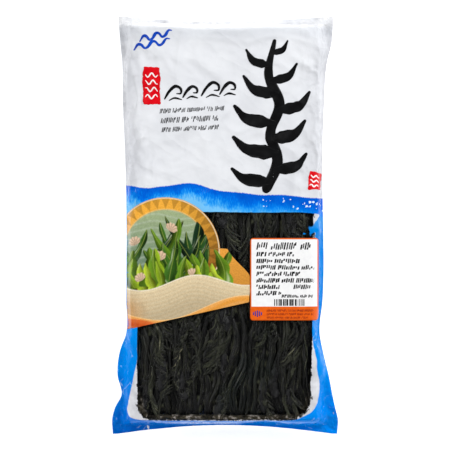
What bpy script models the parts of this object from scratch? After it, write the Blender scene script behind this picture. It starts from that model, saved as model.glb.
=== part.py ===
# Sealed film pack of dried wakame, lying on its back.
# X runs across the pack, Y up its front face and Z out of the front. The back rests on Z = 0.
import math

import bmesh
import bpy
import numpy as np

MM = 0.001

# The pack as it lies
PACK_HALF_LENGTH = 213.5 * MM
PACK_THICKNESS = 44.0 * MM
FILM_THICKNESS = 0.6 * MM
TOUCH_GAP = 0.3 * MM
FOLD_ROUND = 1.5 * FILM_THICKNESS

# Distance of the side folds from the centre line, as (y, left, right) from the bottom seal to the top one
SIDE_FOLDS = [
    (-213.5, 114.8, 114.8),
    (-198.0, 115.2, 115.2),
    (-185.0, 111.6, 112.0),
    (-174.0, 105.6, 109.6),
    (-152.0, 109.4, 105.2),
    (-127.0, 106.6, 99.2),
    (-112.0, 101.0, 96.4),
    (-76.0, 100.5, 99.3),
    (25.0, 100.5, 99.5),
    (66.0, 101.5, 99.0),
    (127.0, 104.0, 101.0),
    (165.0, 104.6, 103.6),
    (186.0, 106.8, 108.6),
    (213.5, 109.4, 110.8),
]
CORNER_HALF_WIDTH = 110.0 * MM
# How far the middle of each end seal is drawn in by the thickness of the pack
BOTTOM_DRAW_IN = 9.0 * MM
TOP_DRAW_IN = 5.5 * MM
DRAW_IN_REACH = 40.0 * MM
DRAW_IN_POWER = 1.8

# Heights of the plane where the front and back of the film meet
SIDE_FOLD_HEIGHT = 22.0 * MM
END_SEAL_HEIGHT = 6.0 * MM
END_DROOP_REACH = 42.0 * MM
EAR_RIPPLE = 1.6 * MM
EAR_RIPPLE_LENGTH = 46.0 * MM

# Seals along both ends, and the film's slopes from the top of the wakame down to its folds and seals
SEAL_WIDTH_MIDDLE = 3.0 * MM
SEAL_WIDTH_CORNER = 10.0 * MM
SLOPE_OUTSIDE = 12.0 * MM
SLOPE_INSIDE = 8.0 * MM
END_SLOPE = 15.0 * MM
SIDE_DOME = 2.2
END_DOME = 3.6
CROWN_RIPPLE = 0.7 * MM
CROWN_REACH_ACROSS = 13.0 * MM
CROWN_REACH_ALONG = 41.0 * MM

# The lap seam down the middle of the back
LAP_HALF_WIDTH = 5.0 * MM
LAP_STEP_START = 6.5 * MM
LAP_STEP_END = 10.0 * MM
LAP_STEP = FILM_THICKNESS + TOUCH_GAP

# The pressed wakame inside
SLAB_HALF_WIDTH = 89.3 * MM
SLAB_TOP = 183.0 * MM
SLAB_BOTTOM = -197.0 * MM
SLAB_FLOOR = 2.0 * MM
SLAB_CEILING = 42.2 * MM
SHOULDER_DROP = 4.5 * MM
SHOULDER_REACH = 12.0 * MM
FROND_COUNT = 5
FROND_GAP = 0.4 * MM
FROND_WANDER = 2.2 * MM
FROND_WANDER_LENGTH = 190.0 * MM
SECTION_POWER = 4.0
OUTER_SECTION_POWER = 3.2
LENGTH_POWER = 9.0
CORE_SINK = 1.8 * MM
CORE_SHARE = 0.86
CORE_SEGMENTS = 12
CORE_RINGS = 8

# Blades of one folded frond
LOOP_BLADES = 5
LOOP_STATIONS = 14
SIDE_BLADES = 2
SIDE_STATIONS = 7
BLADE_THICKNESS = 1.6 * MM
BLADE_WIDTHS = (5.0 * MM, 9.0 * MM)
BLADE_DEPTH_STEP = 0.13 * MM
BLADE_WANDER = 2.6 * MM
BLADE_TWIST = math.radians(24)
FROND_SEEDS = (23, 17, 13, 24, 28)

# The paper sticker, its edges as places on the pack
STICKER_LEFT = 25.4 * MM
STICKER_RIGHT = 94.6 * MM
STICKER_TOP = -13.2 * MM
STICKER_BOTTOM = -96.4 * MM
STICKER_THICKNESS = 0.6 * MM
STICKER_LIFT = 0.9 * MM
STICKER_CORNER = 1.2 * MM

# Number of spans in the film mesh
FILM_ROW_STEPS_MM = (0, 4, 9, 14, 20, 28, 38, 50, 64, 80, 98, 117.5, 150, 184)
FRONT_INNER_SPANS = 8
BACK_INNER_SPANS = 2
SLOPE_STEPS = (0.0, 0.3, 0.55, 0.8, 1.0)


def eased(t):
    """0 below 0, 1 above 1, and a smooth step between."""
    t = np.clip(t, 0.0, 1.0)
    return t * t * (3.0 - 2.0 * t)


def domed(t, power):
    """Rises steeply from 0 and levels out at 1."""
    return 1.0 - (1.0 - np.clip(t, 0.0, 1.0)) ** power


def side_fold(y, side):
    """Distance of the side fold from the centre line at y, on the left (-1) or the right (+1)."""
    table = np.array(SIDE_FOLDS) * MM
    places, widths = table[:, 0], table[:, 1 if side < 0 else 2]
    slopes = np.gradient(widths, places)
    span = np.clip(np.searchsorted(places, y) - 1, 0, len(places) - 2)
    step = places[span + 1] - places[span]
    t = (y - places[span]) / step
    return (
        widths[span] * (1 + 2 * t) * (1 - t) ** 2
        + widths[span + 1] * t**2 * (3 - 2 * t)
        + step * (slopes[span] * t * (1 - t) ** 2 - slopes[span + 1] * t**2 * (1 - t))
    )


def end_draw_in(x, y):
    """How far the film at (x, y) is drawn in along Y, most at the middle of an end seal."""
    middle = 1.0 - np.clip(np.abs(x) / CORNER_HALF_WIDTH, 0.0, 1.0) ** DRAW_IN_POWER
    near_end = eased((np.abs(y) - PACK_HALF_LENGTH + DRAW_IN_REACH) / DRAW_IN_REACH)
    return np.where(y < 0, BOTTOM_DRAW_IN, -TOP_DRAW_IN) * middle * near_end


def film_heights(x, y, fold):
    """Heights of the outer faces of the film's front and back, over (x, y) before the ends are drawn in."""
    away = PACK_HALF_LENGTH - np.abs(y)
    edge = np.clip(np.abs(x) / CORNER_HALF_WIDTH, 0.0, 1.0)
    seal = SEAL_WIDTH_MIDDLE + (SEAL_WIDTH_CORNER - SEAL_WIDTH_MIDDLE) * edge**2
    ripple = EAR_RIPPLE * np.sin(2 * math.pi * (np.abs(x) - 0.6 * np.abs(y)) / EAR_RIPPLE_LENGTH)
    meeting = END_SEAL_HEIGHT + (SIDE_FOLD_HEIGHT - END_SEAL_HEIGHT) * eased(away / END_DROOP_REACH)
    meeting = meeting + ripple * edge**4 * eased(2.0 - away / END_DROOP_REACH)

    outside = np.minimum(fold - SLAB_HALF_WIDTH, SLOPE_OUTSIDE)
    across = (SLAB_HALF_WIDTH + outside - np.abs(x)) / (outside + SLOPE_INSIDE)
    along = (away - seal) / END_SLOPE
    full = domed(across, SIDE_DOME) * domed(along, END_DOME)

    flat_half_gap = FILM_THICKNESS + 0.5 * TOUCH_GAP
    waves = np.cos(x / CROWN_REACH_ACROSS + 0.4) * np.cos(y / CROWN_REACH_ALONG)
    crown = CROWN_RIPPLE * (waves - 1.0)
    lap = LAP_STEP * eased((LAP_STEP_END - np.abs(x)) / (LAP_STEP_END - LAP_STEP_START))
    low_front = meeting + flat_half_gap + lap
    low_back = meeting - flat_half_gap
    front = low_front + (PACK_THICKNESS + crown - low_front) * full
    back = low_back * (1.0 - full)
    return front, back


def spread(near, far, steps):
    """Places from near to far, at the given shares of the way."""
    return near[:, None] + (far - near)[:, None] * np.asarray(steps)[None, :]


def film_rows():
    """Rows of the film along Y, closer together towards the end seals."""
    steps = np.array(FILM_ROW_STEPS_MM) * MM
    below = -PACK_HALF_LENGTH + steps
    return np.concatenate([below, [0.0], -below[::-1]])


def film_half(y, side):
    """Columns of x from the middle to just short of the side fold, and the fold itself."""
    fold = side_fold(y, side)
    shoulder = np.full_like(y, SLAB_HALF_WIDTH - SLOPE_INSIDE)
    return fold, shoulder, fold - FOLD_ROUND


def film_points():
    """Outer face of the film as one sheet, wrapped from the lap seam round the front and back to it."""
    y = film_rows()
    columns = []

    def add(x, face, fold, lift=0.0):
        front, back = film_heights(x, y[:, None], fold[:, None])
        height = front if face == "front" else back + lift
        columns.append(np.stack([x, y[:, None] + end_draw_in(x, y[:, None]), height], axis=-1))

    def add_fold(fold, side):
        front, back = film_heights(side * fold, y, fold)
        line = np.stack([side * fold, y, (front + back) / 2], axis=-1)
        columns.append(line[:, None, :])

    ones = np.ones_like(y)
    fold, shoulder, lip = film_half(y, +1)
    inner_lap = spread(-LAP_HALF_WIDTH * ones, LAP_STEP_START * ones, (0.0, 1.0))
    add(inner_lap, "back", fold, LAP_STEP)
    add(spread(LAP_STEP_END * ones, shoulder, np.linspace(0, 1, BACK_INNER_SPANS + 1)), "back", fold)
    add(spread(shoulder, lip, SLOPE_STEPS[1:]), "back", fold)
    add_fold(fold, +1)
    add(spread(lip, shoulder, SLOPE_STEPS), "front", fold)
    left_fold, left_shoulder, left_lip = film_half(y, -1)
    middle = np.linspace(0, 1, FRONT_INNER_SPANS + 1)[1:]
    middle_fold = np.maximum(fold, left_fold)
    add(spread(shoulder, -left_shoulder, middle), "front", middle_fold)
    add(spread(-left_shoulder, -left_lip, SLOPE_STEPS[1:]), "front", left_fold)
    add_fold(left_fold, -1)
    add(spread(-left_lip, -left_shoulder, SLOPE_STEPS), "back", left_fold)
    add(spread(-left_shoulder, LAP_HALF_WIDTH * ones, (0.5, 0.93, 1.0)), "back", left_fold)
    return np.concatenate(columns, axis=1)[:, ::-1]


def material(name, colour, roughness, metallic=0.0, alpha=1.0):
    made = bpy.data.materials.new(name)
    made.use_nodes = True
    shader = made.node_tree.nodes["Principled BSDF"]
    shader.inputs["Base Color"].default_value = (*colour, 1.0)
    shader.inputs["Roughness"].default_value = roughness
    shader.inputs["Metallic"].default_value = metallic
    shader.inputs["Alpha"].default_value = alpha
    return made


def sheet(name, points, thickness, offset, collection):
    """A grid bent to the given points, rows by columns, with a wall of the given thickness."""
    rows, columns = points.shape[:2]
    mesh = bpy.data.meshes.new(name)
    grid = bmesh.new()
    bmesh.ops.create_grid(grid, x_segments=columns - 1, y_segments=rows - 1, size=0.5)
    grid.to_mesh(mesh)
    grid.free()
    mesh.vertices.foreach_set("co", points.reshape(-1, 3).astype(np.float32).ravel())
    mesh.update()
    made = bpy.data.objects.new(name, mesh)
    collection.objects.link(made)
    wall = made.modifiers.new("wall", "SOLIDIFY")
    wall.thickness = thickness
    wall.offset = offset
    return made


def frond_border(index, y):
    """X of the border between two neighbouring fronds, or of the side of the slab."""
    at = -SLAB_HALF_WIDTH + 2 * SLAB_HALF_WIDTH * index / FROND_COUNT
    inside = 0.0 if index in (0, FROND_COUNT) else 1.0
    sway = np.sin(2 * math.pi * y / FROND_WANDER_LENGTH + 1.7 * index)
    return at + inside * FROND_WANDER * sway


def in_cell(index, points):
    """Turns (share across, y, z) into places inside one frond's share of the slab."""
    share, y, z = points[..., 0], points[..., 1], points[..., 2]
    low = frond_border(index, y) + FROND_GAP / 2
    high = frond_border(index + 1, y) - FROND_GAP / 2
    return np.stack([(low + high) / 2 + share * (high - low) / 2, y, z], axis=-1)


def signed_power(value, power):
    return np.sign(value) * np.abs(value) ** power


def frond_size(index):
    """Half length, half thickness, centre of Y and Z, and section power of one frond."""
    half_length = (SLAB_TOP - SLAB_BOTTOM) / 2
    half_thickness = (SLAB_CEILING - SLAB_FLOOR) / 2
    centre_y = (SLAB_TOP + SLAB_BOTTOM) / 2
    centre_z = (SLAB_CEILING + SLAB_FLOOR) / 2
    power = OUTER_SECTION_POWER if index in (0, FROND_COUNT - 1) else SECTION_POWER
    return half_length, half_thickness, centre_y, centre_z, power


def frond_core(index, collection):
    """The dense middle of a pressed frond: a sphere squared up to fill its share of the slab."""
    half_length, half_thickness, centre_y, centre_z, power = frond_size(index)
    mesh = bpy.data.meshes.new(f"frond_{index + 1}")
    ball = bmesh.new()
    bmesh.ops.create_uvsphere(ball, u_segments=CORE_SEGMENTS, v_segments=CORE_RINGS, radius=1.0)
    for corner in ball.verts:
        ring = math.hypot(corner.co.x, corner.co.y)
        share = np.array([corner.co.x, corner.co.y]) / max(ring, 1e-9)
        section = signed_power(share, 2 / power)
        reach = ring ** (2 / LENGTH_POWER)
        local = np.array([
            section[0] * reach * CORE_SHARE,
            centre_y + signed_power(corner.co.z, 2 / LENGTH_POWER) * (half_length - 2 * CORE_SINK),
            centre_z + section[1] * reach * (half_thickness - CORE_SINK),
        ])
        corner.co = in_cell(index, local).tolist()
    bmesh.ops.recalc_face_normals(ball, faces=ball.faces)
    ball.to_mesh(mesh)
    ball.free()
    core = bpy.data.objects.new(mesh.name, mesh)
    collection.objects.link(core)
    return core


def superellipse(half_y, half_z, power_y, power_z, start, end, stations):
    """Evenly spaced places on a squared-up ellipse in the YZ plane, from angle start to angle end."""
    angle = np.linspace(start, end, 400)
    y = half_y * signed_power(np.cos(angle), 2 / power_y)
    z = half_z * signed_power(np.sin(angle), 2 / power_z)
    run = np.concatenate([[0.0], np.cumsum(np.hypot(np.diff(y), np.diff(z)))])
    at = np.linspace(0.0, run[-1], stations)
    return np.interp(at, run, y), np.interp(at, run, z)


def blade_strip(path, lateral, width, twist):
    """Two edges of a blade along a path: the width lies along lateral, turned about the path by twist."""
    along = np.gradient(path, axis=0)
    along /= np.linalg.norm(along, axis=1)[:, None]
    outward = np.cross(along, np.broadcast_to(lateral, along.shape))
    outward /= np.linalg.norm(outward, axis=1)[:, None]
    across = np.cos(twist)[:, None] * lateral + np.sin(twist)[:, None] * outward
    half = width[:, None] / 2
    return np.stack([path - half * across, path + half * across], axis=1)


def keep_in_slab(index, strip, number):
    """Presses a blade flat inside the slab and clear of the next fronds, each at a depth of its own."""
    margin = BLADE_THICKNESS / 2 + number * BLADE_DEPTH_STEP
    low = frond_border(index, strip[..., 1]) + FROND_GAP / 2 + margin
    high = frond_border(index + 1, strip[..., 1]) - FROND_GAP / 2 - margin
    strip[..., 0] = np.clip(strip[..., 0], low, high)
    strip[..., 1] = np.clip(strip[..., 1], SLAB_BOTTOM + margin, SLAB_TOP - margin)
    to_side = (np.abs(strip[..., 0]) - SLAB_HALF_WIDTH + SHOULDER_REACH) / SHOULDER_REACH
    press = SHOULDER_DROP * eased(to_side) + margin
    strip[..., 2] = np.clip(strip[..., 2], SLAB_FLOOR + press, SLAB_CEILING - press)
    return strip


def blade_widths(stations, draw):
    """Widths along a blade, waving a little and narrowing to its two tips."""
    t = np.linspace(0.0, 1.0, stations)
    base = draw.uniform(*BLADE_WIDTHS)
    wave = 1.0 + 0.22 * np.sin(2 * math.pi * (t * draw.uniform(2.0, 4.0) + draw.uniform()))
    tips = 0.35 + 0.65 * eased(np.minimum(t, 1 - t) / 0.07)
    return base * wave * tips


def loop_blade(index, lane, draw):
    """A long blade folded round the bottom of its frond: down the front and up the back."""
    half_length, half_thickness, centre_y, centre_z, power = frond_size(index)
    share = -0.76 + 1.52 * lane / (LOOP_BLADES - 1)
    reach = (1.0 - abs(share) ** power) ** (1 / power)
    start = math.radians(draw.uniform(6, 20))
    y, z = superellipse(
        half_length - BLADE_THICKNESS,
        reach * half_thickness - 0.55 * BLADE_THICKNESS,
        LENGTH_POWER, 5.0, start, 2 * math.pi - start, LOOP_STATIONS,
    )
    t = np.linspace(0.0, 1.0, LOOP_STATIONS)
    wander = BLADE_WANDER * np.sin(2 * math.pi * (t * draw.uniform(2.5, 5.0) + draw.uniform()))
    width = blade_widths(LOOP_STATIONS, draw)
    path = in_cell(index, np.stack([np.full_like(y, share), y + centre_y, z + centre_z], axis=-1))
    path[:, 0] += wander
    twist = BLADE_TWIST * np.sin(2 * math.pi * (t * draw.uniform(3.0, 6.0) + draw.uniform()))
    return blade_strip(path, np.array([1.0, 0.0, 0.0]), width, twist)


def side_blade(index, side, lane, draw):
    """A blade that runs down one side of its frond."""
    half_length, half_thickness, centre_y, centre_z, power = frond_size(index)
    level = (-0.36 + 0.72 * lane / max(SIDE_BLADES - 1, 1)) * half_thickness
    reach = (1.0 - abs(level / half_thickness) ** power) ** (1 / power)
    t = np.linspace(0.0, 1.0, SIDE_STATIONS)
    y = centre_y + (half_length - draw.uniform(6, 16) * MM) * (1 - 2 * t)
    wander = BLADE_WANDER * np.sin(2 * math.pi * (t * draw.uniform(2.0, 4.0) + draw.uniform()))
    share = np.full_like(y, side * (reach * 0.95 - 0.03))
    path = in_cell(index, np.stack([share, y, centre_z + level + wander], axis=-1))
    width = 1.3 * blade_widths(SIDE_STATIONS, draw)
    twist = 0.4 * BLADE_TWIST * np.sin(2 * math.pi * (t * draw.uniform(2.0, 4.0) + draw.uniform()))
    return blade_strip(path, np.array([0.0, 0.0, 1.0]), width, twist)


def keep_outer_shell(mesh):
    """Fills any pocket sealed between blades and drops any scrap: only the longest shell stays."""
    work = bmesh.new()
    work.from_mesh(mesh)
    waiting, shells = set(work.faces), []
    while waiting:
        shell, front = set(), [waiting.pop()]
        while front:
            face = front.pop()
            shell.add(face)
            sides = [edge for edge in face.edges if len(edge.link_faces) == 2]
            near = {other for edge in sides for other in edge.link_faces} & waiting
            waiting -= near
            front.extend(near)
        shells.append(shell)
    shells.sort(key=lambda shell: np.ptp([face.calc_center_median().y for face in shell]))
    inner = [face for shell in shells[:-1] for face in shell]
    bmesh.ops.delete(work, geom=inner, context="FACES")
    work.to_mesh(mesh)
    work.free()


def frond(index, collection, finish):
    """One folded frond: its core and every blade, joined into a single solid."""
    draw = np.random.default_rng(FROND_SEEDS[index])
    blades = bpy.data.collections.new(f"blades of frond {index + 1}")
    bpy.context.scene.collection.children.link(blades)
    strips = [loop_blade(index, lane, draw) for lane in range(LOOP_BLADES)]
    strips += [
        side_blade(index, side, lane, draw) for side in (-1, 1) for lane in range(SIDE_BLADES)
    ]
    for number, strip in enumerate(strips):
        strip = keep_in_slab(index, strip, number)
        sheet(f"blade_{index}_{number}", strip, BLADE_THICKNESS, 0.0, blades)
    core = frond_core(index, collection)
    join = core.modifiers.new("join blades", "BOOLEAN")
    join.operation = "UNION"
    join.operand_type = "COLLECTION"
    join.collection = blades
    join.solver = "MANIFOLD"
    graph = bpy.context.evaluated_depsgraph_get()
    joined = bpy.data.meshes.new_from_object(core.evaluated_get(graph))
    core.modifiers.clear()
    core.data = joined
    for blade in list(blades.objects):
        bpy.data.objects.remove(blade)
    bpy.data.collections.remove(blades)
    keep_outer_shell(joined)
    joined.materials.clear()
    joined.materials.append(finish)
    return core


def sticker_points():
    """Outer face of the sticker's underside, laid on the film with its corners a little cut."""
    across = np.array([0.0, 0.04, 0.2, 0.4, 0.6, 0.76, 0.84, 0.89, 0.93, 0.97, 1.0])
    along = np.array([0.0, 0.04, 0.2, 0.4, 0.6, 0.8, 0.96, 1.0])
    x = STICKER_LEFT + (STICKER_RIGHT - STICKER_LEFT) * across[None, :]
    y = STICKER_BOTTOM + (STICKER_TOP - STICKER_BOTTOM) * along[:, None]
    x, y = np.broadcast_arrays(x, y)
    x, y = x.copy(), y.copy()
    for row, up in ((0, 1), (-1, -1)):
        for column, right in ((0, 1), (-1, -1)):
            x[row, column] += right * STICKER_CORNER
            y[row, column] += up * STICKER_CORNER
    fold = side_fold(y, +1)
    front, _ = film_heights(x, y, fold)
    return np.stack([x, y + end_draw_in(x, y), front + STICKER_LIFT], axis=-1)


def main():
    for old in list(bpy.data.objects):
        bpy.data.objects.remove(old)
    pack = bpy.data.collections.new("dried wakame pack")
    bpy.context.scene.collection.children.link(pack)
    film_finish = material("printed film", (0.86, 0.9, 0.95), 0.22, alpha=0.45)
    frond_finish = material("dried wakame", (0.035, 0.042, 0.03), 0.6)
    paper_finish = material("label paper", (0.93, 0.92, 0.9), 0.5)

    bag = sheet("film_bag", film_points(), FILM_THICKNESS, -1.0, pack)
    bag.data.materials.append(film_finish)
    bag.data.shade_smooth()
    for index in range(FROND_COUNT):
        frond(index, pack, frond_finish)
    sticker = sheet("sticker", sticker_points(), STICKER_THICKNESS, 1.0, pack)
    sticker.data.materials.append(paper_finish)


main()
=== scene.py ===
import math

import bpy
import numpy as np
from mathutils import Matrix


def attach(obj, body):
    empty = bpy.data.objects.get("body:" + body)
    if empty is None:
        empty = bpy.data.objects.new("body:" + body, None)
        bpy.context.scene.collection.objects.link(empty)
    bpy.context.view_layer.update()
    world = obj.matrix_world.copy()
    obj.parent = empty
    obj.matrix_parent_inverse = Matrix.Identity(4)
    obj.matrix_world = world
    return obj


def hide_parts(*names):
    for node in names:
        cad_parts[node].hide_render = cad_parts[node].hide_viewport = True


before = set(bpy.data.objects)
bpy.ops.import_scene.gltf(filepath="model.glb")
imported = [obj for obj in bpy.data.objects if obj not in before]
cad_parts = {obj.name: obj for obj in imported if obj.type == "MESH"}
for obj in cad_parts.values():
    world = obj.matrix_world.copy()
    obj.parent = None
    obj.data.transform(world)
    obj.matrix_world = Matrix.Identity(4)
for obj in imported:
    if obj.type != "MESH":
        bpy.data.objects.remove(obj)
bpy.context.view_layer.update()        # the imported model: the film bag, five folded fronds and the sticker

# A sealed pack of dried wakame on its back. Numbers are millimetres until putMesh turns them to metres.
# X runs across the front, Y up it and Z out of it.
pack = {
    "halfLength": 213.5,
    "thickness": 44.0,
    "filmWall": 0.12,
    "flatHalfGap": 0.42,         # half the height of the two films lying on each other
    # distance of the side folds from the middle: (y, left, right)
    "sideFolds": [
        (-213.5, 114.8, 114.8), (-198.0, 115.2, 115.2), (-185.0, 111.6, 112.0), (-174.0, 105.6, 109.6),
        (-152.0, 109.4, 105.2), (-127.0, 106.6, 99.2), (-112.0, 101.0, 96.4), (-76.0, 100.5, 99.3),
        (25.0, 100.5, 99.5), (66.0, 101.5, 99.0), (127.0, 104.0, 101.0), (165.0, 104.6, 103.6),
        (186.0, 106.8, 108.6), (213.5, 109.4, 110.8),
    ],
    "cornerHalfWidth": 110.0,
    # how far the middle of each end is drawn in, over which length, and how square the curve is
    "bottomDrawIn": 9.0, "topDrawIn": 5.5, "drawInReach": 40.0, "drawInPower": 1.8,
    # height at which front and back meet along the sides and at the seals, and the length between the two
    "sideFoldHeight": 22.0, "endSealHeight": 6.0, "endDroopReach": 42.0,
    # ripple of the flat corners, and width of the seals in the middle and at the corners
    "earRipple": 1.6, "earRippleLength": 46.0, "sealMiddle": 3.0, "sealCorner": 10.0,
    # slopes outside and inside the slab's edge and at the ends, and how steeply they start
    "slopeOutside": 12.0, "slopeInside": 8.0, "endSlope": 15.0, "sideDome": 2.2, "endDome": 3.6,
    # slow waves of the front: height, and length over 2 pi across and along
    "crownRipple": 0.7, "crownAcross": 13.0, "crownAlong": 41.0,
    "foldRound": 0.9,            # the last column of points before a side fold
    "foldReach": 5.0,            # the bulge ends within this distance of a side fold
}
# The film's relief: heights of its crumples, then the wavelength and the seed of the noise under each
relief = {
    "lift": 1.0, "swell": 0.50, "facets": 1.05, "small": 0.42, "slope": 1.8, "sideCrease": 0.75,
    "edgeShift": 2.6, "loose": 0.8, "looseFacets": 0.7, "looseFine": 0.6,
    "swellNoise": (70.0, 51), "facetNoise": (42.0, 52), "smallNoise": (17.0, 53), "slopeNoise": (13.0, 54),
    "sideNoise": (8.5, 55), "crinkledNoise": (60.0, 57), "edgeNoise": (46.0, 45), "looseNoise": (34.0, 41),
    "looseFacetNoise": (15.0, 42), "looseFineNoise": (7.0, 43),
    "sideFrom": 60.0, "sideReach": 24.0, "sideStretch": 0.36, "looseStretch": 0.5,
    # the film lies on the wakame from this height up, and is pressed against it over this depth
    "clearance": 42.55, "pressDepth": 0.4,
    # share of the crumples that is gone over the window, from where down and over which reach
    "windowCalm": 0.66, "calmFrom": 20.0, "calmReach": 30.0,
    # share of the crumples that is gone under the label, and the place that it makes stiff
    "underLabel": 0.9, "stiffLeft": 14.0, "stiffTop": -4.0, "stiffBottom": -106.0, "stiffReach": 9.0,
}
# The lap seam down the back: half its width, where its step starts and ends, and the step's height
lap = {"halfWidth": 5.0, "stepStart": 6.5, "stepEnd": 10.0, "step": 0.9}
# The slab that the five fronds make: its box, its shoulders and corners, and its division
slab = {
    "halfWidth": 89.3, "top": 183.0, "bottom": -197.0, "floor": 2.0, "ceiling": 42.2,
    "shoulderDrop": 4.5, "shoulderReach": 12.0, "cornerRadius": 16.0,
    # its outline as seen through the window
    "seenInset": 0.6, "seenRadius": 16.0, "seenRightRadius": 22.0,
    "footNarrow": 2.8, "narrowFrom": -80.0, "narrowReach": 90.0, "leftNarrowShare": 0.25,
    "fronds": 5, "gap": 0.4, "wander": 2.2, "wanderLength": 190.0,
    "sectionPower": 4.0, "outerSectionPower": 3.2, "lengthPower": 9.0, "loopPower": 5.0,
}
slabMiddle = ((slab["top"] + slab["bottom"]) / 2, (slab["ceiling"] + slab["floor"]) / 2)      # its Y and Z
slabHalf = ((slab["top"] - slab["bottom"]) / 2, (slab["ceiling"] - slab["floor"]) / 2)        # along Y and Z

# Creases of the film, set along the folds that the pack shows:
# (x, y) of both ends, half width and height of the ridge, minus for a valley
creases = [
    (-86, 178, -20, 158, 6.0, 0.9), (-20, 158, 14, 118, 5.0, 0.7), (-46, 168, 8, 122, 4.0, -0.6),
    (-98, 172, -90, 104, 2.2, 2.2), (-93, 168, -85, 120, 2.2, -1.6), (-97, 112, -78, 62, 2.8, 1.3),
    (-90, 92, -64, 30, 3.6, 0.9), (-76, 150, -60, 128, 3.0, 0.7), (-99, 196, -84, 176, 2.4, 1.2),
    (-86, 196, -52, 152, 2.6, 0.9), (-58, 172, -20, 140, 2.4, 0.7), (-94, 60, -88, 24, 2.4, 1.0),
    (95, 176, 91, 140, 2.2, 2.4), (90, 172, 87, 146, 2.2, -1.6), (93, 140, 88, 84, 2.4, 1.6),
    (88, 130, 84, 96, 2.4, -1.1), (97, 128, 92, 52, 2.4, 1.2),
    (99, 190, 84, 160, 2.4, 1.2), (70, 190, 94, 176, 2.4, 0.9), (86, 100, 94, 40, 2.4, 0.9),
    (60, 172, 96, 150, 4.0, 0.6), (20, 196, 88, 182, 3.5, 0.6), (-60, 190, 14, 186, 3.5, 0.5),
    (92, 118, 80, 60, 4.0, 0.5), (-40, 112, -10, 60, 7.0, 0.4), (30, 150, 44, 100, 7.0, 0.35),
    (-88, 206, -40, 198, 2.2, 0.7), (-30, 199, 20, 203, 2.2, -0.5), (40, 200, 104, 205, 2.2, 0.6),
]
# Creases of the two films where they lie on each other, outside the wakame
earCreases = [
    (-109, 204, -95, 199, 1.5, 1.1), (-107, 196, -97, 190, 1.6, -1.1), (-106, 189, -93, 178, 1.8, 1.0),
    (100, 203, 110, 194, 1.5, 1.2), (98, 193, 109, 190, 1.4, -1.0), (96, 186, 107, 184, 1.6, 0.9),
    (-106, -176, -93, -190, 2.0, -1.9), (-104, -170, -92, -182, 2.0, 1.6),
    (-110, -205, -52, -206, 1.3, 0.9), (-100, -208, -30, -203, 1.2, -0.8),
    (92, -198, 114, -196, 1.4, 1.1), (100, -207, 112, -212, 1.3, 1.0), (70, -199, 108, -205, 1.6, -0.9),
    (100, -120, 97, -104, 1.6, 1.1), (-102, -132, -98, -146, 2.0, 1.2), (-108, -152, -100, -160, 2.4, -1.0),
    (98, -128, 104, -170, 2.2, 0.8), (108, -180, 104, -195, 2.0, 0.7), (-112, -196, -106, -180, 2.2, 0.8),
]


def linear(hexColour):
    # sRGB hex to linear: ((c + 0.055) / 1.055) to the power 2.4, or c / 12.92 when dark
    parts = np.array([int(hexColour[i:i + 2], 16) for i in (1, 3, 5)]) / 255
    return np.where(parts <= 0.04045, parts / 12.92, ((parts + 0.055) / 1.055) ** 2.4)


def eased(t):
    # 3t^2 - 2t^3 between 0 and 1
    t = np.clip(t, 0.0, 1.0)
    return t * t * (3.0 - 2.0 * t)


def domed(t, power):
    # 1 - (1 - t)^power
    return 1.0 - (1.0 - np.clip(t, 0.0, 1.0)) ** power


def softStop(gap, depth=0.25):
    # depth ln(1 + e^(gap / depth)): what would pass a limit is pressed flat against it in order
    return depth * np.logaddexp(0.0, gap / depth)


def waveNoise(x, y, wavelength, seed, count=6):
    # sum of sines along random directions, each sin(2 pi (x cos a + y sin a) / length + phase)
    draw = np.random.default_rng(seed)
    total = 0.0
    for _ in range(count):
        angle = draw.uniform(0, 2 * math.pi)
        length = wavelength * draw.uniform(0.7, 1.5)
        phase = draw.uniform(0, 2 * math.pi)
        total = total + np.sin(2 * math.pi * (x * math.cos(angle) + y * math.sin(angle)) / length + phase)
    return total / math.sqrt(count / 2)


def crumple(x, y, wavelength, seed):
    # sharp ridges between flat facets: 0.6 - |noise|, with the places bent by a slower noise
    bentX = x + 0.25 * wavelength * waveNoise(x, y, 2.2 * wavelength, seed + 1)
    bentY = y + 0.25 * wavelength * waveNoise(x, y, 2.2 * wavelength, seed + 2)
    return 0.6 - np.abs(waveNoise(bentX, bentY, 1.6 * wavelength, seed, 4))


def ridges(x, y, rows):
    # each crease: height exp(-(distance / width)^2), fading over its two ends
    total = np.zeros(np.broadcast(x, y).shape)
    for x0, y0, x1, y1, width, height in rows:
        length = math.hypot(x1 - x0, y1 - y0)
        alongX, alongY = (x1 - x0) / length, (y1 - y0) / length
        run = (x - x0) * alongX + (y - y0) * alongY
        off = (x - x0) * -alongY + (y - y0) * alongX
        bend = 0.06 * length * np.sin(math.pi * np.clip(run / length, 0, 1))
        fade = eased((run + 0.1 * length) / (0.35 * length)) * eased((1.1 * length - run) / (0.35 * length))
        total += height * np.exp(-((off - bend) / width) ** 2) * fade
    return total


def sideFold(y, side):
    # cubic Hermite curve through the table of fold places
    table = np.array(pack["sideFolds"])
    places, widths = table[:, 0], table[:, 1 if side < 0 else 2]
    slopes = np.gradient(widths, places)
    span = np.clip(np.searchsorted(places, y) - 1, 0, len(places) - 2)
    step = places[span + 1] - places[span]
    t = (y - places[span]) / step
    return (
        widths[span] * (1 + 2 * t) * (1 - t) ** 2 + widths[span + 1] * t**2 * (3 - 2 * t)
        + step * (slopes[span] * t * (1 - t) ** 2 - slopes[span + 1] * t**2 * (1 - t))
    )


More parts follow.
